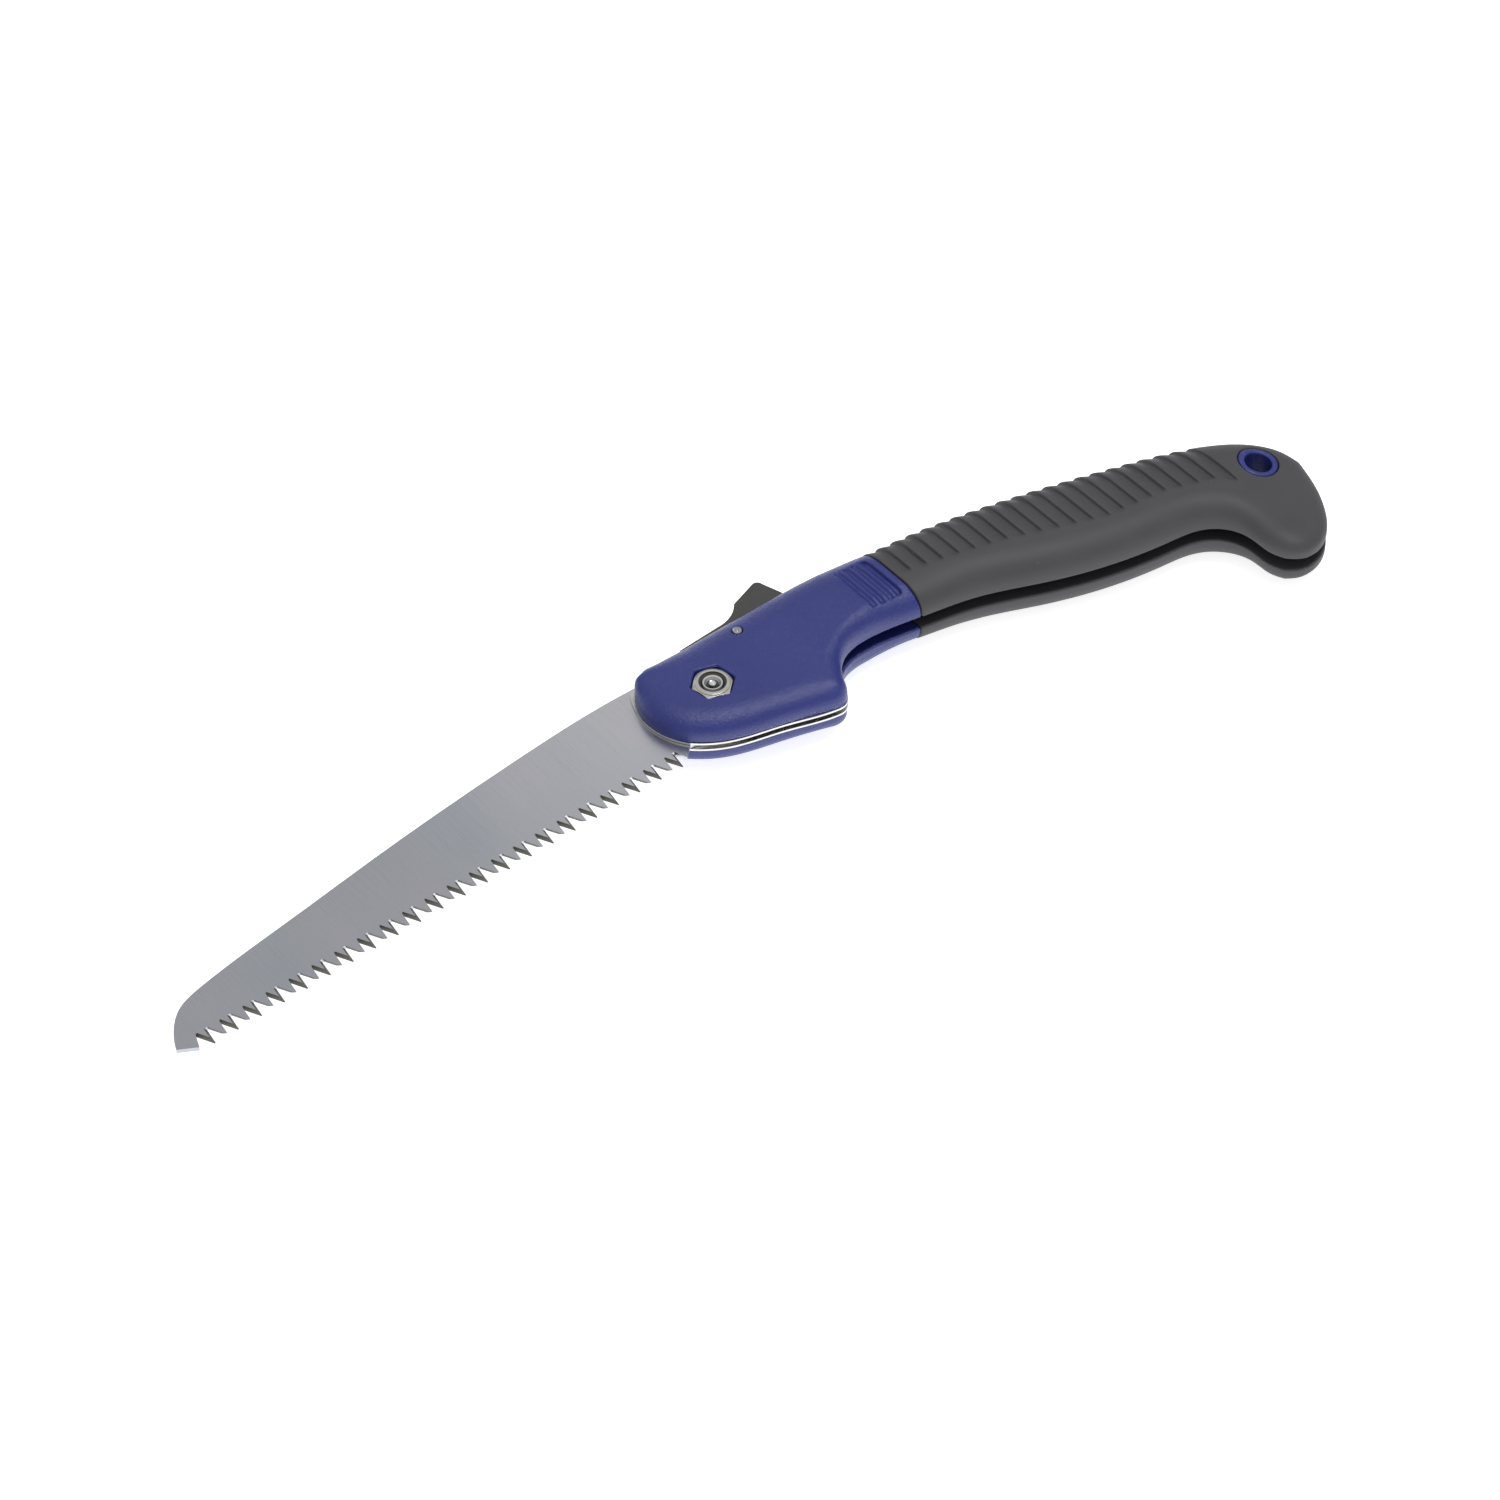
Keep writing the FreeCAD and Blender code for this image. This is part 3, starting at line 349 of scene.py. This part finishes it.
def half_thickness(block):
    """Thickness of one half, which falls away towards the palm at the rear end."""
    widest = GRIP_HALF - SWELL
    half = along(block, (22, HEAD_HALF), (46, NECK_HALF), (BOUNDARY, NECK_HALF), (78, widest),
                 (125, widest), (160, REAR_HALF))
    towards_palm = 0.65 * (block.x - EYE[0]) - 0.76 * (block.y - EYE[1])
    return half - REAR_LEAN * step_up(towards_palm, -9.0, 9.0) * step_up(block.x, 140.0, 160.0)


def rounding_of_spine(block):
    """Width and drop of the rounded edge along the spine."""
    across = along(block, (-13, 2.0), (-6, 5.0), (4, 9.0), (58, 9.0), (72, 8.0), (150, 10.0),
                   (166, 10.0), (176, 7.0))
    down = along(block, (-13, 2.2), (-6, 3.6), (4, 4.5), (40, 4.5), (58, 5.6), (72, 7.5), (150, 7.2))
    return across, down


def rounding_of_rest(block):
    """Width and drop of the rounded edge elsewhere, smaller at the head's upper front."""
    upper_front = np.clip((block.y - 8.0) / 6.0, 0, 1) * (block.x < 0)
    across = along(block, (18, 6.8), (34, 4.0), (46, 5.5), (58, 8.0), (72, 8.5), (140, 7.0))
    down = along(block, (18, 5.8), (34, 4.4), (46, 5.4), (58, 6.8), (72, 8.0), (140, 7.2))
    return across - 4.0 * upper_front, down - 3.0 * upper_front


def handle_form(block, maps, swell=0.0):
    """Field of a full half: upright walls at the parting plane, rounded up to the side."""
    depth, to_spine, to_rest = maps
    half = half_thickness(block)
    tallest = half - along(block, (130, 3.0), (160, 3.4))
    across_spine, down_spine = rounding_of_spine(block)
    across_rest, down_rest = rounding_of_rest(block)
    near_spine = np.maximum(1 - (to_spine + swell) / across_spine, 0)
    near_rest = np.maximum(1 - (to_rest + swell) / across_rest, 0)
    outward = np.where(block.x > GRIP_START, np.maximum(near_rest, near_spine),
                       np.hypot(near_rest, near_spine))
    share = near_rest ** 2 / np.maximum(near_rest ** 2 + near_spine ** 2, TINY)
    share = np.where(outward > 0, share, 1.0)
    across = (across_rest * share + across_spine * (1 - share))[..., None]
    down = np.minimum(down_rest, tallest) * share + np.minimum(down_spine, tallest) * (1 - share)
    down = down[..., None]
    outward = outward[..., None]
    above = block.z - (half[..., None] + swell)
    upward = np.maximum(1 + above / down, 0)
    length = np.hypot(outward, upward)
    scale = np.hypot(across * outward, down * upward) / np.maximum(length, TINY)
    deep = np.maximum(-(depth[..., None] + swell), above)
    return np.where(length > TINY, np.maximum((length - 1) * scale, deep), deep)


# Slot for the blade: below this roof from the neck to the rear, and open over the tang.
ROOF = [(-30.0, 30.0), (2.6, 30.0), (2.6, 14.2), (18.4, 14.2), (19.4, 12.0), (49.0, 12.0),
        (49.0, 0.8), (180.0, -39.3), (200.0, -80.0), (-30.0, -80.0)]
# The channel for the lever's pad, and the recessed panel in the neck: left, low, right, high.
PAD_CHANNEL = [(2.6, 14.2), (18.4, 14.2), (19.4, 12.0), (39.6, 12.0), (39.6, 25.0), (2.6, 25.0)]
RIB_WINDOW = (48.0, -6.0, 58.6, 9.8)


def round_hole(block, centre, radius):
    """Field of an endless cylinder along Z."""
    return (np.hypot(block.x - centre[0], block.y - centre[1]) - radius)[..., None]


def hexagon_field(block, flats, turn):
    """Field of an endless hexagonal prism along Z about the pivot."""
    angle = np.arctan2(block.y, block.x) - math.radians(turn + 30)
    sixth = math.pi / 3
    off = (angle + sixth / 2) % sixth - sixth / 2
    return (np.hypot(block.x, block.y) * np.cos(off) - flats / 2)[..., None]


def blade_space(block):
    """Field of the slot that the blade folds into, wider behind the side plates."""
    half_width = along(block, (28, SLOT_HALF + 0.02), (33, 2.0), (150, 2.0), (165, 1.4))[..., None]
    return both(polygon_distance(ROOF, block.x, block.y)[..., None], block.z - half_width)


def rib_window(block, form):
    """The recessed panel with upright ribs in the side of the neck."""
    left, low, right, high = RIB_WINDOW
    lean, corner = 0.09, 1.2
    wide = np.abs(block.x - (left + right) / 2) - (right - left) / 2
    tall = np.abs(block.y - (low + high) / 2 + lean * (block.x - left)) - (high - low) / 2
    panel = (np.hypot(np.maximum(wide + corner, 0), np.maximum(tall + corner, 0))
             + np.minimum(np.maximum(wide, tall) + corner, 0) - corner)
    pitch, first_rib, rib_height = 2.7, 0.4, 0.75
    phase = (block.x - left - first_rib) / pitch
    from_rib = np.abs(phase - np.round(phase)) * pitch
    ribs = rib_height * (1 - step_up(from_rib, 0.35, 0.95))
    shallow, deep = 0.6, 1.2
    floor = shallow + (deep - shallow) * (block.x - left) / (right - left)
    depth = (floor - ribs)[..., None]
    return without(form, both(panel[..., None], -form - depth, edge=0.3), edge=0.35)


def slot_flange(block, maps, thickness):
    """Field of the strip of rubber that turns in along the slot's walls."""
    return both(maps[0][..., None] - SLOT_SKIN_DEPTH, block.z - SLOT_HALF - thickness)


def far_side_openings(block, solid):
    """A far half with the recess of the bolt's washer and the bores of the screws."""
    recess = both(round_hole(block, (0, 0), WASHER_RECESS), WASHER_SEAT - block.z)
    solid = without(solid, recess, edge=0.5)
    solid = without(solid, round_hole(block, (0, 0), BOLT_HOLE))
    for screw in SCREWS:
        bore = both(round_hole(block, screw, SCREW_BORE), SCREW_SEAT - block.z)
        solid = without(solid, bore, edge=0.3)
        solid = without(solid, round_hole(block, screw, SCREW_HOLE))
    return solid


def shell_field(block, side):
    """A blue half: head and neck at full size, the core under the rubber, the eye's boss."""
    maps = edge_maps(block)
    form = rib_window(block, handle_form(block, maps))
    front = both(form, (block.x - BOUNDARY + 0.15)[..., None], edge=0.3)
    core = both(form + SKIN + CORE_GAP, (CORE_FRONT - block.x)[..., None])
    core = without(core, slot_flange(block, maps, SLOT_SKIN + CORE_GAP))
    boss = both(round_hole(block, EYE, EYE_RING - 0.1), form + 0.05, edge=0.4)
    solid = either(either(front, core), boss)
    solid = without(solid, blade_space(block), edge=0.25)
    channel = both(polygon_distance(PAD_CHANNEL, block.x, block.y)[..., None], block.z - PAD_HALF)
    solid = without(solid, channel, edge=0.25)
    solid = without(solid, round_hole(block, EYE, EYE_RADIUS), edge=0.9)
    solid = without(solid, round_hole(block, LEVER[:2], PIN_HOLE), edge=0.35)
    if side > 0:
        solid = without(solid, hexagon_field(block, NUT_POCKET, NUT_TURN), edge=0.45)
    else:
        solid = far_side_openings(block, solid)
    return both(solid, -block.z)


# ---------------------------------------------------------------- rubber covers

RIDGE_PITCH = 4.48
RIDGE_FIRST = 65.0
RIDGE_COUNT = 21
RIDGE_DEPTH = 0.95
# Share of the pitch in which a ridge steps up, and how its back falls away.
RIDGE_RISE = 0.12
RIDGE_FALL = 1.4
# The line on the side at which the ridges end.
RIDGE_ENDS = [(64, -2.5), (92, -10.7), (118, -21.0), (137, -23.4), (150, -28.0), (158, -35.0)]


def ridges(block):
    """How far the ridged spine side is cut down: a steep step up, then a slow fall."""
    phase = (block.x - RIDGE_FIRST) / RIDGE_PITCH
    begun = step_up(phase, -0.9, -0.6)
    ended = step_up(phase, RIDGE_COUNT - 0.9, RIDGE_COUNT - 0.6)
    ridge = phase - np.floor(phase)
    rise = step_up(ridge, 0.0, RIDGE_RISE)
    fall = 1 - np.clip((ridge - RIDGE_RISE) / (1 - RIDGE_RISE), 0, 1) ** RIDGE_FALL
    reach = step_up(block.y - along(block, *RIDGE_ENDS), -0.5, 2.0)
    return RIDGE_DEPTH * (1 - rise * fall) * begun * (1 - ended) * reach


def grip_field(block, side):
    """Ridged rubber over the core, with rounded lips along the slot."""
    maps = edge_maps(block)
    outer = handle_form(block, maps, SWELL) + ridges(block)[..., None]
    core = without(handle_form(block, maps) + SKIN, slot_flange(block, maps, SLOT_SKIN))
    solid = without(outer, core, edge=0.2)
    solid = both(solid, (BOUNDARY + 0.1 - block.x)[..., None], edge=0.5)
    solid = without(solid, round_hole(block, EYE, EYE_RING + 0.08), edge=0.5)
    solid = without(solid, blade_space(block), edge=0.4)
    if side < 0:
        for screw in SCREWS[1:]:
            solid = without(solid, round_hole(block, screw, SCREW_OPENING), edge=0.6)
    return both(solid, -block.z)


# ---------------------------------------------------------------- materials

def linear(red, green, blue):
    """A colour given as screen values from 0 to 255, as the linear values that nodes use."""
    parts = [value / 255 for value in (red, green, blue)]
    return tuple(p / 12.92 if p < 0.04045 else ((p + 0.055) / 1.055) ** 2.4 for p in parts) + (1.0,)


# The slot's walls lie within this height of the parting plane, and get this share of painted shade.
SLOT_WALL = 2.3
SLOT_PAINTED_SHADE_SHARE = 0.25
# Distance from the pivot's axis at which a material's rings of painted reflection end.
RING_REACH = 6.0


class Finish:
    """A procedural material: each call adds one node and gives back its output."""

    def __init__(self, name):
        self.material = bpy.data.materials.new(name)
        self.material.use_nodes = True
        self.tree = self.material.node_tree
        self.shader = self.tree.nodes["Principled BSDF"]
        self.coordinates = self.add("ShaderNodeTexCoord").outputs["Object"]

    def add(self, kind, **settings):
        """A new node of this kind."""
        made = self.tree.nodes.new(kind)
        for key, value in settings.items():
            setattr(made, key, value)
        return made

    def feed(self, socket, value):
        """Link or set an input, as the value is an output or a constant."""
        if isinstance(value, bpy.types.NodeSocket):
            self.tree.links.new(value, socket)
        else:
            socket.default_value = value

    def stretched(self, scale):
        """Object coordinates in millimetres, stretched by a factor on each axis."""
        mapping = self.add("ShaderNodeMapping")
        self.feed(mapping.inputs["Vector"], self.coordinates)
        mapping.inputs["Scale"].default_value = [1000 * part for part in scale]
        return mapping.outputs["Vector"]

    def noise(self, scale, detail=3.0, roughness=0.5):
        """Cloudy noise with this many changes in a millimetre along each axis."""
        made = self.add("ShaderNodeTexNoise")
        self.feed(made.inputs["Vector"], self.stretched(scale))
        made.inputs["Scale"].default_value = 1.0
        made.inputs["Detail"].default_value = detail
        made.inputs["Roughness"].default_value = roughness
        return made.outputs["Fac"]

    def specks(self, pitch, radius):
        """1 in small round spots scattered this many millimetres apart."""
        made = self.add("ShaderNodeTexVoronoi")
        self.feed(made.inputs["Vector"], self.stretched((1 / pitch,) * 3))
        made.inputs["Scale"].default_value = 1.0
        return self.ramp(made.outputs["Distance"], (radius / pitch, 1.0), (1.6 * radius / pitch, 0.0))

    def ramp(self, value, *stops):
        """A straight-line curve through (place, result) stops; a result is a number or a colour."""
        made = self.add("ShaderNodeValToRGB")
        self.feed(made.inputs["Fac"], value)
        elements = made.color_ramp.elements
        while len(elements) < len(stops):
            elements.new(0.5)
        for element, (position, result) in zip(elements, stops):
            element.position = position
            element.color = result if isinstance(result, tuple) else (result, result, result, 1)
        return made.outputs["Color"]

    def maths(self, operation, *values):
        """A sum, product or other step on numbers."""
        made = self.add("ShaderNodeMath", operation=operation)
        for socket, value in zip(made.inputs, values):
            self.feed(socket, value)
        return made.outputs["Value"]

    def mix(self, share, a, b):
        """Colour a where the share is 0 and colour b where it is 1."""
        made = self.add("ShaderNodeMix", data_type="RGBA")
        colours = [socket for socket in made.inputs if socket.type == "RGBA"]
        self.feed(made.inputs["Factor"], share)
        self.feed(colours[0], a)
        self.feed(colours[1], b)
        return next(socket for socket in made.outputs if socket.type == "RGBA")

    def bump(self, height, distance, strength=1.0, normal=None):
        """The normal of a surface raised by height times this many millimetres."""
        made = self.add("ShaderNodeBump")
        self.feed(made.inputs["Height"], height)
        made.inputs["Distance"].default_value = distance * MM
        made.inputs["Strength"].default_value = strength
        if normal is not None:
            self.feed(made.inputs["Normal"], normal)
        return made.outputs["Normal"]

    def axis(self, vector, name):
        """One component of a vector output, without its sign."""
        parts = self.add("ShaderNodeSeparateXYZ")
        self.feed(parts.inputs["Vector"], vector)
        return self.maths("ABSOLUTE", parts.outputs[name])

    def slot_painted_shade(self, colour):
        """The colour, with painted shade on the walls that face each other across the slot."""
        facing = self.axis(self.add("ShaderNodeNewGeometry").outputs["True Normal"], "Z")
        height = self.axis(self.coordinates, "Z")
        inside = self.maths("MULTIPLY", self.maths("LESS_THAN", height, SLOT_WALL * MM),
                            self.maths("GREATER_THAN", facing, 0.5))
        # The near-black colour is the painted shade of the slot.
        return self.mix(self.maths("MULTIPLY", inside, SLOT_PAINTED_SHADE_SHARE), colour, (0.006, 0.006, 0.008, 1))

    def rings(self, *stops):
        """A tone for each distance from the pivot's axis, given as (millimetres, tone) stops."""
        mapping = self.add("ShaderNodeMapping")
        self.feed(mapping.inputs["Vector"], self.coordinates)
        mapping.inputs["Location"].default_value = [-PIVOT[0], -PIVOT[1], 0]
        flat = self.add("ShaderNodeVectorMath", operation="MULTIPLY")
        self.feed(flat.inputs[0], mapping.outputs["Vector"])
        flat.inputs[1].default_value = (1, 1, 0)
        length = self.add("ShaderNodeVectorMath", operation="LENGTH")
        self.feed(length.inputs[0], flat.outputs["Vector"])
        reach = self.maths("DIVIDE", length.outputs["Value"], RING_REACH * MM)
        return self.ramp(reach, *[(place_at / RING_REACH, tone) for place_at, tone in stops])

    def done(self, **inputs):
        """The material, with these inputs of its shader set."""
        for key, value in inputs.items():
            self.feed(self.shader.inputs[key.replace("_", " ")], value)
        return self.material


def blue_plastic():
    """Moulded polypropylene with a fine spark-eroded grain."""
    made = Finish("blue_plastic")
    patch = made.noise((0.05, 0.05, 0.05), 2)
    colour = made.ramp(patch, (0.3, linear(34, 44, 117)), (0.7, linear(40, 50, 124)))
    # Painted shade on the slot's walls.
    colour = made.slot_painted_shade(colour)
    grain = made.noise((1.4, 1.4, 1.4), 4, 0.7)
    waves = made.noise((0.14, 0.14, 0.14), 1)
    normal = made.bump(grain, 0.19, 1.0, made.bump(waves, 0.12, 0.5))
    rough = made.ramp(grain, (0.3, 0.29), (0.7, 0.42))
    return made.done(Base_Color=colour, Roughness=rough, Normal=normal, Specular_IOR_Level=0.55)


def grey_rubber():
    """Soft rubber moulded over the core, with a little dust on it."""
    made = Finish("grey_rubber")
    patch = made.noise((0.08, 0.08, 0.08), 4, 0.6)
    colour = made.ramp(patch, (0.3, linear(64, 64, 67)), (0.7, linear(70, 70, 73)))
    colour = made.mix(made.maths("MULTIPLY", made.specks(7.0, 0.10), 0.45), colour, linear(150, 150, 152))
    # Painted shade on the slot's walls.
    colour = made.slot_painted_shade(colour)
    grain = made.noise((3.5, 3.5, 3.5), 3, 0.6)
    rough = made.ramp(patch, (0.3, 0.56), (0.7, 0.66))
    normal = made.bump(grain, 0.02, 0.7)
    return made.done(Base_Color=colour, Roughness=rough, Normal=normal, Specular_IOR_Level=0.5)


def blade_steel():
    """Cross-ground blade steel; the tooth flanks get a painted dark reflection and a rougher finish."""
    made = Finish("blade_steel")
    clouds = made.noise((0.028, 0.012, 0.05), 3, 0.55)
    cloud = made.ramp(clouds, (0.32, linear(164, 172, 184)), (0.5, linear(180, 186, 189)),
                      (0.68, linear(198, 191, 198)))
    along = made.add("ShaderNodeSeparateXYZ")
    made.feed(along.inputs["Vector"], made.add("ShaderNodeTexCoord").outputs["Generated"])
    colour = made.ramp(along.outputs["X"], (0.0, linear(168, 171, 178)), (0.43, linear(174, 176, 181)),
                       (0.6, linear(192, 195, 200)), (0.8, linear(216, 215, 219)))
    colour = made.mix(0.35, colour, cloud)
    strokes = made.noise((4.0, 0.04, 0.2), 3, 0.6)
    broad = made.noise((0.3, 0.02, 0.1), 1, 0.4)
    normal = made.bump(strokes, 0.003, 0.3, made.bump(broad, 0.02, 0.1))
    # Painted reflection: faces that lean between flat and upright, the ground tooth flanks, get a dark
    # colour.
    facing = made.axis(made.add("ShaderNodeNewGeometry").outputs["True Normal"], "Z")
    flat = made.ramp(facing, (0.1, 1.0), (0.2, 0.0), (0.85, 0.0), (0.95, 1.0))
    colour = made.mix(flat, linear(104, 102, 96), colour)
    rough = made.mix(flat, (0.5, 0.5, 0.5, 1), made.ramp(strokes, (0.3, 0.26), (0.7, 0.34)))
    return made.done(Base_Color=colour, Metallic=1.0, Roughness=rough, Normal=normal)


def metal(name, colour, worn, roughness, stroke=(0.6, 0.6, 0.6), painted_side_shade=0.0):
    """A plated or turned metal with faint marks; its upright sides can get painted shade."""
    made = Finish(name)
    cloud = made.noise((0.3, 0.3, 0.3), 3, 0.6)
    marks = made.noise(stroke, 4, 0.65)
    tone = made.ramp(cloud, (0.3, linear(*worn)), (0.7, linear(*colour)))
    rough = made.ramp(marks, (0.3, roughness - 0.05), (0.7, roughness + 0.07))
    facing = made.axis(made.add("ShaderNodeNewGeometry").outputs["True Normal"], "Z")
    # Painted shade: the upright sides are mixed towards near black.
    tone = made.mix(made.maths("MULTIPLY", made.ramp(facing, (0.3, 1.0), (0.6, 0.0)), painted_side_shade),
                    tone, (0.02, 0.02, 0.02, 1))
    return made.done(Base_Color=tone, Metallic=1.0, Roughness=rough, Normal=made.bump(marks, 0.01, 0.4))


def ring_reflection_metal(name, *stops):
    """A bright metal with painted reflections: rings of light and dark round the pivot's axis."""
    made = Finish(name)
    marks = made.noise((0.6, 0.6, 0.6), 4, 0.65)
    tone = made.rings(*stops)
    rough = made.ramp(marks, (0.3, 0.12), (0.7, 0.24))
    return made.done(Base_Color=tone, Metallic=1.0, Roughness=rough, Normal=made.bump(marks, 0.01, 0.4))


def plain_plastic(name, colour, worn, roughness):
    """A moulded plastic with a fine grain."""
    made = Finish(name)
    cloud = made.noise((0.12, 0.12, 0.12), 3, 0.6)
    grain = made.noise((3.0, 3.0, 3.0), 3, 0.6)
    tone = made.ramp(cloud, (0.3, linear(*worn)), (0.7, linear(*colour)))
    rough = made.ramp(grain, (0.3, roughness - 0.06), (0.7, roughness + 0.06))
    return made.done(Base_Color=tone, Roughness=rough, Normal=made.bump(grain, 0.03, 0.6))


# ---------------------------------------------------------------- pieces

blue = blue_plastic()
rubber = grey_rubber()
plate_steel = metal("plate_steel", (226, 226, 224), (208, 208, 208), 0.30, stroke=(0.3, 2.0, 0.3))
# The nut, washer and screws get painted shade on their upright sides.
zinc_steel = metal("zinc_steel", (222, 220, 214), (196, 195, 190), 0.20, painted_side_shade=0.85)
pin_steel = metal("pin_steel", (196, 198, 202), (160, 162, 168), 0.28)
# The bolt's end carries painted reflections: rings of light and dark tone.
ring_reflection_steel = ring_reflection_metal("ring_reflection_steel", (0.5, 0.95), (0.9, 0.7), (1.1, 0.12), (1.5, 0.10),
                            (1.7, 0.55), (2.0, 0.30), (2.2, 0.75), (2.5, 0.80), (2.7, 0.20),
                            (3.05, 0.15), (3.3, 0.72))
finishes = {
    "near_shell": blue,
    "far_shell": blue,
    "near_grip": rubber,
    "far_grip": rubber,
    "blade": blade_steel(),
    "near_liner": plate_steel,
    "far_liner": plate_steel,
    "lock_lever": plate_steel,
    "pivot_bolt": ring_reflection_steel,
    "pivot_nut": zinc_steel,
    "bolt_washer": zinc_steel,
    "handle_screws": zinc_steel,
    "lever_pin": pin_steel,
    "stop_pins": pin_steel,
    "liner_spacer": pin_steel,
    "lever_spring": metal("spring_steel", (170, 168, 164), (140, 138, 134), 0.32),
    "pivot_bush": metal("bronze", (196, 160, 104), (164, 128, 78), 0.36),
    "pivot_washers": plain_plastic("nylon", (226, 222, 210), (210, 206, 194), 0.45),
    # The nylon ring is coloured dark as painted shade in the groove between the nut's collar and the
    # bolt's end.
    "nut_insert": plain_plastic("ring_nylon_painted_shade", (70, 68, 60), (52, 50, 44), 0.35),
    "lever_pad": plain_plastic("pad_plastic", (66, 67, 64), (58, 59, 57), 0.42),
}
for name, node in frame["nodes"].items():
    node.data.materials.clear()
    node.data.materials.append(finishes[name])

# The grids that the shells and the rubber are carved on, in millimetres; the rubber's is
# finer along X, across the ridges.
STEP = 0.38
BELOW = -2 * STEP
ABOVE = GRIP_HALF + 3 * STEP
LOW_Y, REAR_X = -61.5, 178.5
shell_block = Block((-20.5, LOW_Y, BELOW), (REAR_X, 18.5, ABOVE), (STEP, STEP, STEP))
grip_block = Block((BOUNDARY - 2, LOW_Y, BELOW), (REAR_X, 15.0, ABOVE), (STEP / 2, STEP, STEP))
for side, word in ((1, "near"), (-1, "far")):
    field = shell_field(shell_block, side)
    shell = shell_block.piece(word + "_shell_form", field, side, blue, word + "_shell")
    field = grip_field(grip_block, side)
    grip = grip_block.piece(word + "_grip_form", field, side, rubber, word + "_grip")


# ---------------------------------------------------------------- floor, light and camera

MIDDLE = Vector(place((-3.25, -19.08, 0.0)))
TOWARDS_CAMERA = Vector((-0.4419, -0.5360, 0.7193)).normalized()
CAMERA_DISTANCE = 1.440
FLOOR_GAP = 0.0002
FLOOR_REACH = 3.0


def floor_plane():
    """A pale floor just under the saw."""
    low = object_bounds()[0][2] - FLOOR_GAP
    reach = FLOOR_REACH
    mesh = bpy.data.meshes.new("floor")
    corners = [(-reach, -reach, low), (reach, -reach, low), (reach, reach, low), (-reach, reach, low)]
    mesh.from_pydata(corners, [], [(0, 1, 2, 3)])
    made = bpy.data.objects.new("floor", mesh)
    bpy.context.scene.collection.objects.link(made)
    finish = Finish("floor_white")
    mesh.materials.append(finish.done(Base_Color=(0.9, 0.9, 0.9, 1), Roughness=0.9,
                                      Emission_Color=(1, 1, 1, 1), Emission_Strength=0.75))


def softbox(name, direction, distance, size, power):
    """A rectangular soft light that faces the middle of the saw; metres and watts."""
    data = bpy.data.lights.new(name, "AREA")
    data.shape = "RECTANGLE"
    data.size, data.size_y = size
    data.energy = power
    lamp = bpy.data.objects.new(name, data)
    bpy.context.scene.collection.objects.link(lamp)
    aim = Vector(direction).normalized()
    lamp.location = MIDDLE + aim * distance
    lamp.rotation_euler = aim.to_track_quat("Z", "Y").to_euler()


def studio_world():
    """Even pale light from all round, a little darker near the horizon."""
    world = bpy.data.worlds.new("studio")
    bpy.context.scene.world = world
    world.use_nodes = True
    tree = world.node_tree
    coordinates = tree.nodes.new("ShaderNodeTexCoord")
    parts = tree.nodes.new("ShaderNodeSeparateXYZ")
    tree.links.new(coordinates.outputs["Generated"], parts.inputs["Vector"])
    ramp = tree.nodes.new("ShaderNodeValToRGB")
    tree.links.new(parts.outputs["Z"], ramp.inputs["Fac"])
    horizon, overhead = ramp.color_ramp.elements
    horizon.position = 0.0
    horizon.color = (0.22, 0.22, 0.22, 1)
    overhead.position = 0.7
    overhead.color = (0.62, 0.62, 0.63, 1)
    tree.links.new(ramp.outputs["Color"], tree.nodes["Background"].inputs["Color"])


floor_plane()
studio_world()
softbox("key", (0.20, -0.12, 0.97), distance=1.3, size=(0.30, 0.22), power=7.0)
softbox("back", (0.20, 0.88, 0.42), distance=1.5, size=(1.0, 0.6), power=1.0)

camera_data = bpy.data.cameras.new("camera")
camera_data.lens = 134.8
camera_data.sensor_width = 36.0
camera = bpy.data.objects.new("camera", camera_data)
bpy.context.scene.collection.objects.link(camera)
camera.location = MIDDLE + TOWARDS_CAMERA * CAMERA_DISTANCE
camera.rotation_euler = TOWARDS_CAMERA.to_track_quat("Z", "Y").to_euler()
bpy.context.scene.camera = camera
bpy.context.scene.view_settings.view_transform = "Standard"
